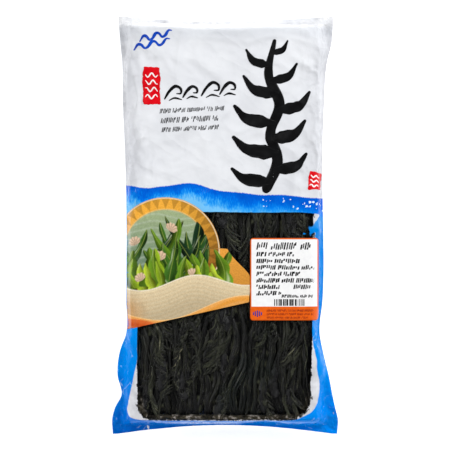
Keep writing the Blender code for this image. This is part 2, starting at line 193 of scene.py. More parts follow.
def endDrawIn(x, y):
    # the middle of an end is drawn in by depth (1 - |x / half|^power), easing off over the reach
    middle = 1.0 - np.clip(np.abs(x) / pack["cornerHalfWidth"], 0.0, 1.0) ** pack["drawInPower"]
    nearEnd = eased((np.abs(y) - pack["halfLength"] + pack["drawInReach"]) / pack["drawInReach"])
    return np.where(y < 0, pack["bottomDrawIn"], -pack["topDrawIn"]) * middle * nearEnd


def flatPlace(x, y):
    # the film's own y for a place y on the drawn-in pack: y - drawIn, found by repeating three times
    own = y
    for _ in range(3):
        own = y - endDrawIn(x, own)
    return own


def filmFaces(x, y, detail=1.0):
    # front = low + (top - low) full and back = low (1 - full), where full = dome(across) dome(along)
    fold = np.where(x < 0, sideFold(y, -1), sideFold(y, +1))
    away = pack["halfLength"] - np.abs(y)
    edge = np.clip(np.abs(x) / pack["cornerHalfWidth"], 0.0, 1.0)
    seal = pack["sealMiddle"] + (pack["sealCorner"] - pack["sealMiddle"]) * edge**2
    ripple = pack["earRipple"] * np.sin(2 * math.pi * (np.abs(x) - 0.6 * np.abs(y)) / pack["earRippleLength"])
    rise = pack["sideFoldHeight"] - pack["endSealHeight"]
    meeting = pack["endSealHeight"] + rise * eased(away / pack["endDroopReach"])
    meeting = meeting + ripple * edge**4 * eased(2.0 - away / pack["endDroopReach"])
    outside = np.minimum(fold - slab["halfWidth"], pack["slopeOutside"])
    stiff = eased((x - relief["stiffLeft"]) / relief["stiffReach"])
    stiff = stiff * eased((relief["stiffTop"] - y) / relief["stiffReach"])
    stiff = stiff * eased((y - relief["stiffBottom"]) / relief["stiffReach"])
    # the film's shoulders stand out a little further in some places than in others
    shift = relief["edgeShift"] * (1.0 - stiff) * detail * (1.0 + 0.7 * waveNoise(x, y, *relief["edgeNoise"]))
    shift = np.maximum(shift, 0.0)
    across = (slab["halfWidth"] + outside - np.abs(x) + shift) / (outside + pack["slopeInside"])
    along = (away - seal + 0.5 * shift) / pack["endSlope"]
    atFold = eased((fold - np.abs(x)) / pack["foldReach"])
    full = domed(across, pack["sideDome"]) * domed(along, pack["endDome"]) * atFold

    # the crumples of the two films where they lie on each other
    loose = ridges(x, y, earCreases) + relief["loose"] * waveNoise(x, y, *relief["looseNoise"])
    loose = loose + relief["looseFacets"] * crumple(x, y, *relief["looseFacetNoise"])
    loose = loose + relief["looseFine"] * crumple(x, relief["looseStretch"] * y, *relief["looseFineNoise"])
    meeting = meeting + detail * loose * (1.0 - full)
    # and of the front over the wakame: some places are finely crinkled and some smooth
    crinkled = eased(0.5 + waveNoise(x, y, *relief["crinkledNoise"]))
    broad = relief["swell"] * waveNoise(x, y, *relief["swellNoise"])
    broad = broad + relief["facets"] * crumple(x, y, *relief["facetNoise"])
    broad = broad + relief["small"] * crinkled * crumple(x, y, *relief["smallNoise"])
    # the slopes over the slab's edge take the sharpest crumples, and the film is tighter over the window
    lean = full * (1.0 - full) * 4.0
    sharp = lean * relief["slope"] * crumple(x, y, *relief["slopeNoise"])
    taut = 1.0 - relief["windowCalm"] * eased((relief["calmFrom"] - y) / relief["calmReach"])
    # long creases run down the sides
    sideways = eased((np.abs(x) - relief["sideFrom"]) / relief["sideReach"])
    lengthwise = relief["sideCrease"] * sideways * crumple(x, relief["sideStretch"] * y, *relief["sideNoise"])
    tight = ridges(x, y, creases) + taut * (broad + sharp) + lengthwise
    tight = tight * (1.0 - relief["underLabel"] * stiff)
    waves = np.cos(x / pack["crownAcross"] + 0.4) * np.cos(y / pack["crownAlong"])
    top = pack["thickness"] + pack["crownRipple"] * (waves - 1.0) + relief["lift"] + detail * tight
    top = relief["clearance"] + softStop(top - relief["clearance"], relief["pressDepth"])
    overLap = lap["step"] * eased((lap["stepEnd"] - np.abs(x)) / (lap["stepEnd"] - lap["stepStart"]))
    lowFront = meeting + pack["flatHalfGap"] + overLap * (1.0 - full)
    lowBack = meeting - pack["flatHalfGap"]
    return lowFront + (top - lowFront) * full, lowBack * (1.0 - full)


def drape(x, y, lift, detail=1.0):
    # places (x, y) on the finished front become points that lie lift above the film
    own = flatPlace(x, y)
    front, _ = filmFaces(x, own, detail)
    return np.stack([x, y, front + lift], axis=-1)


def curveThrough(points, perSpan=10, closed=False):
    # Catmull-Rom curve: each span is the cubic through four neighbouring points
    points = np.asarray(points, float)
    if closed:
        padded = np.concatenate([points[-1:], points, points[:2]])
    else:
        first, last = 2 * points[0] - points[1], 2 * points[-1] - points[-2]
        padded = np.concatenate([[first], points, [last]])
    t = np.linspace(0, 1, perSpan, endpoint=False)[:, None]
    spans = []
    for a, b, c, d in zip(padded, padded[1:], padded[2:], padded[3:]):
        spans.append(0.5 * (2 * b + (c - a) * t + (2 * a - 5 * b + 4 * c - d) * t**2
                            + (3 * b - a - 3 * c + d) * t**3))
    made = np.concatenate(spans)
    return made if closed else np.concatenate([made, points[-1:]])


def insideDistance(x, y, outline):
    # distance to the nearest side of a closed outline, positive inside it
    start, end = outline, np.roll(outline, -1, axis=0)
    px, py = x.ravel()[:, None], y.ravel()[:, None]
    dx, dy = (end - start).T
    t = np.clip(((px - start[:, 0]) * dx + (py - start[:, 1]) * dy) / (dx**2 + dy**2), 0, 1)
    gap = np.hypot(px - start[:, 0] - t * dx, py - start[:, 1] - t * dy).min(axis=1)
    crosses = (start[:, 1] > py) != (end[:, 1] > py)
    with np.errstate(divide="ignore", invalid="ignore"):
        meet = start[:, 0] + (py - start[:, 1]) * dx / dy
    inside = (crosses & (px < meet)).sum(axis=1) % 2 == 1
    return np.where(inside, gap, -gap).reshape(x.shape)


def gridFaces(rows, columns, wrap=False):
    # quads between neighbouring rows and columns, and round from the last column to the first if wrapped
    ids = np.arange(rows * columns).reshape(rows, columns)
    after = np.roll(ids, -1, axis=1)
    quads = np.stack([ids[:-1], after[:-1], after[1:], ids[1:]], axis=-1)
    return quads.reshape(-1, 4) if wrap else quads[:, :-1].reshape(-1, 4)


def putMesh(name, points, faceSets, values=None, smooth=True):
    # a mesh from points in millimetres and arrays of faces, each array with its own number of corners to a
    # face; values go in as one number or one colour to a point
    mesh = bpy.data.meshes.new(name)
    points = np.asarray(points, float).reshape(-1, 3)
    mesh.vertices.add(len(points))
    mesh.vertices.foreach_set("co", (points * 0.001).astype(np.float32).ravel())
    corners = np.concatenate([faces.ravel() for faces in faceSets])
    sizes = np.concatenate([np.full(len(faces), faces.shape[1]) for faces in faceSets])
    starts = np.concatenate([[0], np.cumsum(sizes)[:-1]])
    mesh.loops.add(len(corners))
    mesh.loops.foreach_set("vertex_index", corners.astype(np.int32))
    mesh.polygons.add(len(sizes))
    mesh.polygons.foreach_set("loop_start", starts.astype(np.int32))
    for title, data in (values or {}).items():
        kind = "FLOAT_COLOR" if data.ndim > 1 else "FLOAT"
        layer = mesh.attributes.new(title, kind, "POINT")
        layer.data.foreach_set("color" if data.ndim > 1 else "value", data.astype(np.float32).ravel())
    mesh.update(calc_edges=True)
    mesh.validate()
    if smooth:
        mesh.shade_smooth()
    made = bpy.data.objects.new(name, mesh)
    bpy.context.scene.collection.objects.link(made)
    return made


def addWall(piece, thickness, offset):
    # gives a sheet its thickness in millimetres, outwards at offset 1 and inwards at -1
    wall = piece.modifiers.new("wall", "SOLIDIFY")
    wall.thickness = thickness * 0.001
    wall.offset = offset
    return piece


def facing(points, faces):
    # turns every face round if their mean normal points down
    a, b, c = (points[faces[:, k]] for k in range(3))
    total = np.cross(b - a, c - a)[:, 2].sum()
    return faces if total > 0 else faces[:, ::-1]


def joined(patches):
    # several grids of points in one list, with the face numbers shifted to match
    allPoints, allFaces, count = [], [], 0
    for grid in patches:
        points = grid.reshape(-1, 3)
        faces = facing(points, gridFaces(grid.shape[0], grid.shape[1]))
        allPoints.append(points)
        allFaces.append(faces + count)
        count += len(points)
    return np.concatenate(allPoints), np.concatenate(allFaces)


def addNode(tree, kind, feeds=None, out=0, stops=(), **settings):
    # one node with its settings; what feeds an input is a number, a hex colour or another node's output,
    # and a ramp takes its (place, colour) stops. Gives back the output that is asked for
    node = tree.nodes.new("ShaderNode" + kind)
    for setting, value in settings.items():
        setattr(node, setting, value)
    for socket, value in (feeds or {}).items():
        if isinstance(value, bpy.types.NodeSocket):
            tree.links.new(value, node.inputs[socket])
        else:
            node.inputs[socket].default_value = (*linear(value), 1.0) if isinstance(value, str) else value
    for number, (spot, colour) in enumerate(stops):
        element = node.color_ramp.elements[number] if number < 2 else node.color_ramp.elements.new(spot)
        element.position = spot
        element.color = (*linear(colour), 1.0)
    return node.outputs[out]


def newMaterial(name, roughness, **sockets):
    # a Principled BSDF with the values that are the same all over the surface
    made = bpy.data.materials.new(name)
    made.use_nodes = True
    shader = made.node_tree.nodes["Principled BSDF"]
    shader.inputs["Roughness"].default_value = roughness
    for socket, value in sockets.items():
        shader.inputs[socket].default_value = value
    return made, made.node_tree, shader


# The printed film
filmLook = {
    "middleSpans": 96, "slopeSpans": 15, "backSpans": 16, "backSlopeSpans": 9,
    "endRows": 36, "endReach": 48.0, "endCrowding": 1.15, "middleRows": 166,
    "paperWhite": "#e6e8ec", "greyWhite": "#dcdee3", "marginGrey": "#c9cacf", "marginWhite": "#e2e3e8",
    "clearAlpha": 0.03,
    # upper edge of the blue wash: its height in the middle, slope, swells (height, place, reach) and tremble
    "bandTop": 33.6, "bandTilt": -0.068, "bandSwells": [(6.2, -38.0, 22.0), (-2.4, -80.0, 12.0)],
    "bandTremble": 0.9,
    # brush tongues over the window's upper right corner: (x and y of the root, reach, half width)
    "tongues": [(96, -4, 13, 3.2), (97, 2.0, 8, 2.4), (97, -10, 6, 1.4)],
    "tongueSlope": 0.15, "tongueRough": 0.8, "tongueNoise": (5.5, 62),
}
# Outline of the clear window, from the middle of its top over the right side and round
windowOutline = [
    (-12, 13.2), (40, 12.6), (92.0, 11.8), (93.0, 4), (91.0, -20), (89.4, -60), (88.4, -98),
    (88.4, -114), (90.6, -127), (92.6, -137), (93.2, -147), (95.0, -157), (95.9, -168), (94.3, -178),
    (91.8, -184), (87.0, -189.5), (78, -194.6), (66, -197.6), (20, -198.5), (-30, -198.3), (-66, -197.8),
    (-88, -197.0), (-96.0, -195.0), (-99.0, -188), (-97.6, -178), (-94.6, -163), (-92.0, -150),
    (-89.6, -140), (-88.8, -118), (-88.8, -60), (-88, 0), (-80, 13.0),
]


def bandEdge(x):
    # upper edge of the wash: a slope, swells height exp(-((x - place) / reach)^2), and as a brush tremble the
    # product of two slow sines
    edge = filmLook["bandTop"] + filmLook["bandTilt"] * x
    for height, at, reach in filmLook["bandSwells"]:
        edge = edge + height * np.exp(-((x - at) / reach) ** 2)
    return edge + filmLook["bandTremble"] * np.sin(x / 9.0 + 1.0) * np.sin(x / 31.0)


def slabDepth(x, y):
    # distance inside the slab's seen outline: a rectangle whose corners are rounded by the radius, and that
    # narrows to its foot, more so on the right
    middle, halfLength = slabMiddle[0], slabHalf[0]
    radius = np.where((x > 0) & (y < middle), slab["seenRightRadius"], slab["seenRadius"])
    narrow = slab["footNarrow"] * eased((slab["narrowFrom"] - y) / slab["narrowReach"])
    narrow = narrow * np.where(x > 0, 1.0, slab["leftNarrowShare"])
    overX = np.abs(x) - (slab["halfWidth"] - slab["seenInset"] - narrow - radius)
    overY = np.abs(y - middle) - (halfLength - radius)
    beyond = np.hypot(np.maximum(overX, 0), np.maximum(overY, 0))
    return radius - beyond - np.minimum(np.maximum(overX, overY), 0)


def makeFilm():
    # one sheet wrapped from the lap seam round the front and back to it: columns follow the folds row by row
    steps = np.linspace(0, 1, filmLook["endRows"]) ** filmLook["endCrowding"]      # closer at the ends
    ends = pack["halfLength"] - steps * filmLook["endReach"]
    inner = pack["halfLength"] - filmLook["endReach"]
    y = np.concatenate([-ends, np.linspace(-inner, inner, filmLook["middleRows"])[1:-1], ends[::-1]])
    ones = np.ones_like(y)
    shoulder = (slab["halfWidth"] - pack["slopeInside"]) * ones
    columns, fronts = [], []

    def spread(near, far, steps):
        # near + (far - near) step, for each row and step
        return near[:, None] + (far - near)[:, None] * steps[None, :]

    def add(x, isFront, lift=0.0):
        # columns of the front or the back over the places x
        front, back = filmFaces(x, y[:, None])
        height = front if isFront else back + lift
        columns.append(np.stack([x, y[:, None] + endDrawIn(x, y[:, None]), height], axis=-1))
        fronts.append(np.full(x.shape, 1.0 if isFront else 0.0))

    def addFold(fold, side):
        # one column down a side fold, half way between front and back
        front, back = filmFaces(side * fold, y)
        columns.append(np.stack([side * fold, y, (front + back) / 2], axis=-1)[:, None, :])
        fronts.append(np.full((len(y), 1), 0.5))

    slopeSteps = np.linspace(0, 1, filmLook["slopeSpans"])
    backSlopeSteps = np.linspace(0, 1, filmLook["backSlopeSpans"])
    rightFold, leftFold = sideFold(y, +1), sideFold(y, -1)
    rightLip, leftLip = rightFold - pack["foldRound"], leftFold - pack["foldRound"]
    innerLap = spread(-lap["halfWidth"] * ones, lap["stepStart"] * ones, np.array([0.0, 0.5, 1.0]))
    add(innerLap, False, lap["step"])
    add(spread(lap["stepEnd"] * ones, shoulder, np.linspace(0, 1, filmLook["backSpans"])), False)
    add(spread(shoulder, rightLip, backSlopeSteps[1:]), False)
    addFold(rightFold, +1)
    add(spread(rightLip, shoulder, slopeSteps), True)
    add(spread(shoulder, -shoulder, np.linspace(0, 1, filmLook["middleSpans"])[1:]), True)
    add(spread(-shoulder, -leftLip, slopeSteps[1:]), True)
    addFold(leftFold, -1)
    add(spread(-leftLip, -shoulder, backSlopeSteps), False)
    add(spread(-shoulder, lap["halfWidth"] * ones, np.linspace(0, 1, filmLook["backSpans"])[1:]), False)
    points = np.concatenate(columns, axis=1)
    isFront = np.concatenate(fronts, axis=1)
    faces = gridFaces(*points.shape[:2])
    frontFaces = faces[isFront.ravel()[faces].min(axis=1) > 0.9]
    upright = facing(points.reshape(-1, 3), frontFaces)
    if not np.array_equal(upright, frontFaces):
        faces = faces[:, ::-1]

    x, at, own = points[..., 0], points[..., 1], np.broadcast_to(y[:, None], points.shape[:2])
    window = insideDistance(x, at, curveThrough(windowOutline, 6, closed=True))
    # tongues of blue brush work run in over the window: ellipses with a ragged edge
    ragged = filmLook["tongueRough"] * waveNoise(x, at, *filmLook["tongueNoise"])
    for tongueX, tongueY, reach, depth in filmLook["tongues"]:
        off = at - tongueY - filmLook["tongueSlope"] * (x - tongueX)
        tongue = 1 - np.hypot((x - tongueX) / reach, off / depth)
        window = np.minimum(window, -tongue * depth + ragged)
    fold = np.where(x < 0, sideFold(own, -1), sideFold(own, +1))
    values = {
        "windowDepth": window.ravel(),
        "bandDepth": (bandEdge(x) - at).ravel(),
        "frontShare": isFront.ravel(),
        "foldGap": (fold - np.abs(x)).ravel(),
        "slabDepth": slabDepth(x, at).ravel(),
        "sealGap": (pack["halfLength"] - np.abs(own)).ravel(),
    }
    film = putMesh("printed_film", points, [faces], values)
    return addWall(film, pack["filmWall"], -1.0)


def whiteInk(tree, at):
    # white flood coat: clouded, with painted shade on the slopes towards the side folds and under the seals,
    # and painted light on the seal band
    soft = addNode(tree, "TexNoise", {"Vector": at["place"], "Scale": 22.0, "Detail": 3.0})
    white = addNode(tree, "ValToRGB", {0: soft}, stops=[
        (0.3, filmLook["greyWhite"]), (0.65, filmLook["paperWhite"])])
    # painted shade: darker on the slope under each seal, from 9 to 28 mm in from each end
    sealSlopeShade = addNode(tree, "MapRange", {"Value": at["sealGap"], "From Max": 40.0})
    sealSlopeShade = addNode(tree, "ValToRGB", {0: sealSlopeShade}, stops=[
        (0.22, "#ffffff"), (0.32, "#f2f3f4"), (0.45, "#f5f6f7"), (0.7, "#ffffff")])
    white = addNode(tree, "Mix", {0: 1.0, 6: white, 7: sealSlopeShade}, out=2,
                    data_type="RGBA", blend_type="MULTIPLY")
    # painted shade: darkest within 6 mm of the side folds, fading out by 22 mm
    foldShade = addNode(tree, "MapRange", {"Value": at["foldGap"], "From Max": 30.0})
    foldShade = addNode(tree, "ValToRGB", {0: foldShade}, stops=[(0.2, "#ededee"), (0.75, "#ffffff")])
    white = addNode(tree, "Mix", {0: 1.0, 6: white, 7: foldShade}, out=2,
                    data_type="RGBA", blend_type="MULTIPLY")
    # painted light: the seal band is painted brighter, in blotches, to lift the shade it lies in
    blotch = addNode(tree, "TexNoise", {"Vector": at["place"], "Scale": 75.0, "Detail": 3.0})
    blotch = addNode(tree, "MapRange", {"Value": blotch, "From Min": 0.66, "From Max": 0.42, "To Max": 0.8})
    inSeal = addNode(tree, "MapRange", {"Value": at["sealGap"], "From Min": 11.0, "From Max": 8.0})
    bright = addNode(tree, "Math", {0: inSeal, 1: blotch}, operation="MULTIPLY")
    return addNode(tree, "Mix", {0: bright, 6: white, 7: "#f8f9fb"}, out=2, data_type="RGBA")


def blueInk(tree, at):
    # blue wash: deep at its top edge, paler below, with grains that run down the sheet
    uneven = addNode(tree, "Math", {0: at["grain"], 1: 16.0, 2: at["bandDepth"]}, operation="MULTIPLY_ADD")
    uneven = addNode(tree, "Math", {0: at["cloud"], 1: 20.0, 2: uneven}, operation="MULTIPLY_ADD")
    uneven = addNode(tree, "Math", {0: uneven, 1: 18.0}, operation="SUBTRACT")
    # towards the right the deep part of the wash is wider
    wide = addNode(tree, "MapRange", {"Value": at["across"], "From Min": -0.02, "From Max": 0.09,
                                      "To Min": 19.0, "To Max": 29.0})
    share = addNode(tree, "Math", {0: uneven, 1: wide}, operation="DIVIDE")
    wash = addNode(tree, "ValToRGB", {0: share}, stops=[
        (0.0, "#0057cc"), (0.28, "#0066da"), (0.50, "#0480ea"), (0.68, "#2fa0f2"), (0.95, "#74c2f6")])
    # below the wash the borders go down to the foot, the left one deeper than the right one: painted shade on
    # the left, painted light on the right
    height = addNode(tree, "MapRange", {"Value": at["up"], "From Min": -0.2135, "From Max": 0.03})
    leftBorder = addNode(tree, "ValToRGB", {0: height}, stops=[
        (0.0, "#0068cc"), (0.08, "#0074dc"), (0.30, "#008cf0"), (0.75, "#0092ee"), (1.0, "#0a90ea")])
    rightBorder = addNode(tree, "ValToRGB", {0: height}, stops=[
        (0.0, "#008af6"), (0.25, "#008ef0"), (0.5, "#0086e4"), (1.0, "#0080da")])
    sideways = addNode(tree, "MapRange", {"Value": at["across"], "From Min": -0.1, "From Max": 0.09})
    border = addNode(tree, "Mix", {0: sideways, 6: leftBorder, 7: rightBorder}, out=2, data_type="RGBA")
    below = addNode(tree, "MapRange", {"Value": at["up"], "From Min": 0.014, "From Max": -0.004})
    blue = addNode(tree, "Mix", {0: below, 6: wash, 7: border}, out=2, data_type="RGBA")
    violet = addNode(tree, "TexNoise", {"Vector": at["place"], "Scale": 38.0, "Detail": 2.0})
    violet = addNode(tree, "MapRange", {"Value": violet, "From Min": 0.52, "From Max": 0.75, "To Max": 0.14})
    blue = addNode(tree, "Mix", {0: violet, 6: blue, 7: "#1048c0"}, out=2, data_type="RGBA")
    blue = addNode(tree, "Mix", {0: brushFlecks(tree, at), 6: blue, 7: "#d9ecfb"}, out=2, data_type="RGBA")

    # painted highlights: pale glints along sharp creases, in lines half a millimetre wide, here and there on
    # the lower borders
    creaseGlint = addNode(tree, "TexVoronoi", {"Vector": at["bent"], "Scale": 85.0}, feature="DISTANCE_TO_EDGE")
    creaseGlint = addNode(tree, "MapRange", {"Value": creaseGlint, "From Min": 0.06, "From Max": 0.01})
    some = addNode(tree, "TexNoise", {"Vector": at["place"], "Scale": 95.0, "Detail": 2.0})
    some = addNode(tree, "MapRange", {"Value": some, "From Min": 0.58, "From Max": 0.68, "To Max": 0.35})
    creaseGlint = addNode(tree, "Math", {0: creaseGlint, 1: some}, operation="MULTIPLY")
    low = addNode(tree, "MapRange", {"Value": at["up"], "From Min": -0.09, "From Max": -0.1})
    creaseGlint = addNode(tree, "Math", {0: creaseGlint, 1: low}, operation="MULTIPLY")
    return addNode(tree, "Mix", {0: creaseGlint, 6: blue, 7: "#cfe6fb"}, out=2, data_type="RGBA")


def brushFlecks(tree, at):
    # white flecks where the brush skipped, thickest at the right end of the wash: Voronoi cells of 3 mm, of
    # which a share is picked by colour, each as a ragged round spot
    shaken = addNode(tree, "TexNoise", {"Vector": at["place"], "Scale": 500.0, "Detail": 2.0}, out="Color")
    spots = addNode(tree, "Mix", {0: 0.0035, 4: at["place"], 5: shaken}, out=1, data_type="VECTOR")
    near = addNode(tree, "TexVoronoi", {"Vector": spots, "Scale": 300.0}, out="Distance")
    pick = addNode(tree, "TexVoronoi", {"Vector": spots, "Scale": 300.0}, out="Color")
    pick = addNode(tree, "SeparateColor", {0: pick})
    often = addNode(tree, "MapRange", {"Value": at["across"], "From Min": 0.03, "From Max": 0.08,
                                       "To Min": 0.035, "To Max": 0.42})
    fades = addNode(tree, "MapRange", {"Value": at["bandDepth"], "From Min": 17.0, "From Max": 11.0})
    starts = addNode(tree, "MapRange", {"Value": at["bandDepth"], "From Min": 1.5, "From Max": 4.0})
    often = addNode(tree, "Math", {0: often, 1: fades}, operation="MULTIPLY")
    often = addNode(tree, "Math", {0: often, 1: starts}, operation="MULTIPLY")
    picked = addNode(tree, "Math", {0: pick, 1: often}, operation="LESS_THAN")
    reach = addNode(tree, "Math", {0: pick, 1: 1.1, 2: 0.14}, operation="MULTIPLY_ADD")
    reach = addNode(tree, "Math", {0: near, 1: reach}, operation="LESS_THAN")
    return addNode(tree, "Math", {0: picked, 1: reach}, operation="MULTIPLY")


def clearWindow(tree, at):
    # the clear window with its brushed edge, and the share of it that has wakame right behind the film
    brushed = addNode(tree, "Math", {0: at["cloud"], 1: 2.4, 2: at["windowDepth"]}, operation="MULTIPLY_ADD")
    clear = addNode(tree, "MapRange", {"Value": brushed, "From Min": 0.95, "From Max": 1.55})
    inFront = addNode(tree, "MapRange", {"Value": at["frontShare"], "From Min": 0.6, "From Max": 0.9})
    clear = addNode(tree, "Math", {0: clear, 1: inFront}, operation="MULTIPLY")
    # beyond the wakame the front is painted opaque in the grey and white of the back behind it, painted light
    # and shade; the edge between them is finely ragged, and along the bottom of the slab pale crumbs of it
    # are painted over the wakame
    ragged = addNode(tree, "TexNoise", {"Vector": at["place"], "Scale": 420.0, "Detail": 4.0,
                                        "Roughness": 0.6})
    strength = addNode(tree, "MapRange", {"Value": at["up"], "From Min": -0.168, "From Max": -0.188,
                                          "To Min": 3.6, "To Max": 13.0})
    ragged = addNode(tree, "Math", {0: ragged, 1: 0.5}, operation="SUBTRACT")
    ragged = addNode(tree, "Math", {0: ragged, 1: strength, 2: at["slabDepth"]}, operation="MULTIPLY_ADD")
    overWakame = addNode(tree, "MapRange", {"Value": ragged, "From Min": -0.9, "From Max": -0.4})
    # dark streaks 2 to 8 mm long, painted opaque on the film past the slab's edge down its sides, stand in
    # for stray tips of leaflets and their painted shade
    tips = addNode(tree, "Mapping", {"Vector": at["place"], "Scale": (330.0, 120.0, 1.0),
                                     "Rotation": (0.0, 0.0, 0.35)})
    tips = addNode(tree, "TexNoise", {"Vector": tips, "Scale": 1.0, "Detail": 2.0})
    tips = addNode(tree, "Math", {0: tips, 1: 0.5}, operation="SUBTRACT")
    tips = addNode(tree, "Math", {0: tips, 1: 14.0, 2: at["slabDepth"]}, operation="MULTIPLY_ADD")
    tips = addNode(tree, "MapRange", {"Value": tips, "From Min": -0.6, "From Max": -0.1})
    darkened = addNode(tree, "Math", {0: tips, 1: overWakame}, operation="MAXIMUM")
    # the back seen past the wakame, painted on the front in grey and white as painted shade and light
    margin = addNode(tree, "ValToRGB", {0: at["cloud"]}, stops=[
        (0.38, filmLook["marginGrey"]), (0.62, filmLook["marginWhite"])])
    seen = addNode(tree, "Mix", {0: darkened, 6: margin, 7: "#1a1c1e"}, out=2, data_type="RGBA")
    return clear, overWakame, seen


def filmCreases(tree, at):
    # crisp creases of the handled film: facets 9 and 22 mm across between Voronoi ridges, strongest at the
    # sides
    large = addNode(tree, "TexVoronoi", {"Vector": at["bent"], "Scale": 45.0}, out="Distance")
    small = addNode(tree, "TexVoronoi", {"Vector": at["bent"], "Scale": 110.0}, out="Distance")
    facets = addNode(tree, "Math", {0: small, 1: 0.4, 2: large}, operation="MULTIPLY_ADD")
    handled = addNode(tree, "MapRange", {"Value": at["foldGap"], "From Min": 34.0, "From Max": 6.0,
                                         "To Min": 0.28, "To Max": 0.95})
    facets = addNode(tree, "Math", {0: facets, 1: handled}, operation="MULTIPLY")
    # fine crinkles, 4 mm across, in the top corners
    crinkle = addNode(tree, "TexVoronoi", {"Vector": at["bent"], "Scale": 260.0}, out="Distance")
    atSeal = addNode(tree, "MapRange", {"Value": at["sealGap"], "From Min": 30.0, "From Max": 8.0})
    atFold = addNode(tree, "MapRange", {"Value": at["foldGap"], "From Min": 26.0, "From Max": 6.0,
                                        "To Max": 0.3})
    atCorner = addNode(tree, "Math", {0: atSeal, 1: atFold}, operation="MULTIPLY")
    facets = addNode(tree, "Math", {0: crinkle, 1: atCorner, 2: facets}, operation="MULTIPLY_ADD")
    # long slanting creases, about 70 mm by 15 mm between them, on the white above the window
    slanting = addNode(tree, "Mapping", {"Vector": at["bent"], "Scale": (0.07, 0.015, 0.02),
                                         "Rotation": (0.0, 0.0, -0.55)}, vector_type="TEXTURE")
    slanting = addNode(tree, "TexVoronoi", {"Vector": slanting, "Scale": 1.0}, out="Distance")
    aboveWindow = addNode(tree, "MapRange", {"Value": at["up"], "From Min": 0.02, "From Max": 0.05,
                                             "To Max": 0.4})
    slanting = addNode(tree, "Math", {0: slanting, 1: aboveWindow}, operation="MULTIPLY")
    facets = addNode(tree, "Math", {0: facets, 1: slanting}, operation="ADD")
    return addNode(tree, "Bump", {"Height": facets, "Strength": 1.0, "Distance": 0.0035})


def filmMaterial():
    # BOPP film, gravure printed in white and blue on a clear base: glossy, with the print's own grain
    made, tree, shader = newMaterial("printed BOPP film", 0.07, IOR=1.5, **{"Specular IOR Level": 0.04})
    place = addNode(tree, "TexCoord", out="Object")
    at = {title: addNode(tree, "Attribute", out="Fac", attribute_name=title)
          for title in ("bandDepth", "windowDepth", "frontShare", "foldGap", "slabDepth", "sealGap")}
    at["place"] = place
    at["across"] = addNode(tree, "SeparateXYZ", {0: place}, out="X")
    at["up"] = addNode(tree, "SeparateXYZ", {0: place}, out="Y")
    stretched = addNode(tree, "Mapping", {"Vector": place, "Scale": (900.0, 260.0, 300.0)})
    at["grain"] = addNode(tree, "TexNoise", {"Vector": stretched, "Scale": 1.0, "Detail": 3.0})
    at["cloud"] = addNode(tree, "TexNoise", {"Vector": place, "Scale": 60.0, "Detail": 4.0})
    bend = addNode(tree, "TexNoise", {"Vector": place, "Scale": 45.0, "Detail": 2.0}, out="Color")
    at["bent"] = addNode(tree, "Mix", {0: 0.012, 4: place, 5: bend}, out=1, data_type="VECTOR")

    # the wash begins with a trembling edge, and on the back the blue only wraps round the sides
    edge = addNode(tree, "Math", {0: at["grain"], 1: 1.8, 2: at["bandDepth"]}, operation="MULTIPLY_ADD")
    isBlue = addNode(tree, "MapRange", {"Value": edge, "From Min": 0.5, "From Max": 1.3})
    onFront = addNode(tree, "MapRange", {"Value": at["frontShare"], "From Min": 0.2, "From Max": 0.45})
    atSide = addNode(tree, "MapRange", {"Value": at["foldGap"], "From Min": 3.0, "From Max": 2.0})
    wrapped = addNode(tree, "Math", {0: onFront, 1: atSide}, operation="MAXIMUM")
    isBlue = addNode(tree, "Math", {0: isBlue, 1: wrapped}, operation="MULTIPLY")
    white, blue = whiteInk(tree, at), blueInk(tree, at)
    printed = addNode(tree, "Mix", {0: isBlue, 6: white, 7: blue}, out=2, data_type="RGBA")
    clear, overWakame, seen = clearWindow(tree, at)
    colour = addNode(tree, "Mix", {0: clear, 6: printed, 7: seen}, out=2, data_type="RGBA")
    tree.links.new(colour, shader.inputs["Base Color"])
    seeThrough = addNode(tree, "Math", {0: clear, 1: overWakame}, operation="MULTIPLY")
    opacity = addNode(tree, "MapRange", {"Value": seeThrough, "To Min": 1.0,
                                         "To Max": filmLook["clearAlpha"]})
    tree.links.new(opacity, shader.inputs["Alpha"])
    tree.links.new(filmCreases(tree, at), shader.inputs["Normal"])
    return made


# The dried wakame
frondLook = {
    "seed": 700,
    # stations along a blade, and blades of each kind in a frond
    "stations": 48, "lobeStations": 18, "endStations": 14,
    "frontBlades": 120, "backBlades": 36, "sideBlades": 26, "fans": 18, "fanBlades": 9, "patches": 10,
    "endFolds": 26,
    # lowest and highest width and length of each kind
    "width": (1.6, 5.0), "fanWidth": (1.4, 3.4), "patchWidth": (7.0, 13.0),
    "length": (80.0, 250.0), "fanLength": (26.0, 58.0), "patchLength": (22, 52), "sideLength": (90, 240),
    "endLength": (14, 36),
    # section: thickness, camber as a share of the half width, and the narrowed tips
    "thickness": 0.30, "camber": 0.42, "tipWidth": 0.16, "tipReach": 0.14,
    # long folded blades: strands, the furrows between them, their sway, and the depth of the layers
    "strands": 6, "strandFill": 0.62, "furrow": 3.6, "sway": 1.9, "swayLength": (60.0, 150.0),
    "flow": 4.6, "wander": 1.3, "crinkle": 0.25, "firstDepth": 1.1, "layerDepth": 3.6, "depthWobble": 0.6,
    "loopEnds": (0.004, 0.996),
    # fans: sideways reach, step from leaflet to leaflet, and the shares that swing right and run down
    "fanReach": (7.0, 24.0), "fanStep": 4.2, "rightShare": (0.8, 0.25, 0.5, 0.6, 0.8), "downShare": 0.8,
    "sideHeight": (6, 38), "sideInset": (0.4, 3.5),
    "endAway": (0.3, 3.6), "endHeight": (24, 35), "endRise": 12.0, "endSlope": 1.6, "endTop": 36.0,
    # bare stems: share of the blades, share in fans and folded ends, width and tint
    "stemShare": 0.012, "fanStemShare": 0.06, "stemWidth": 1.1, "stemTint": (1.05, 1.3),
    # how far a blade may cross its frond's border, and the least distance of the rest from it
    "overBorder": 3.0, "borderSpare": 0.1,
    "coreRows": 30, "coreColumns": 36, "coreHalfLength": 185.0, "coreHalfHeight": 12.8, "coreShare": 0.93,
    "coreSpare": 3.2,
}


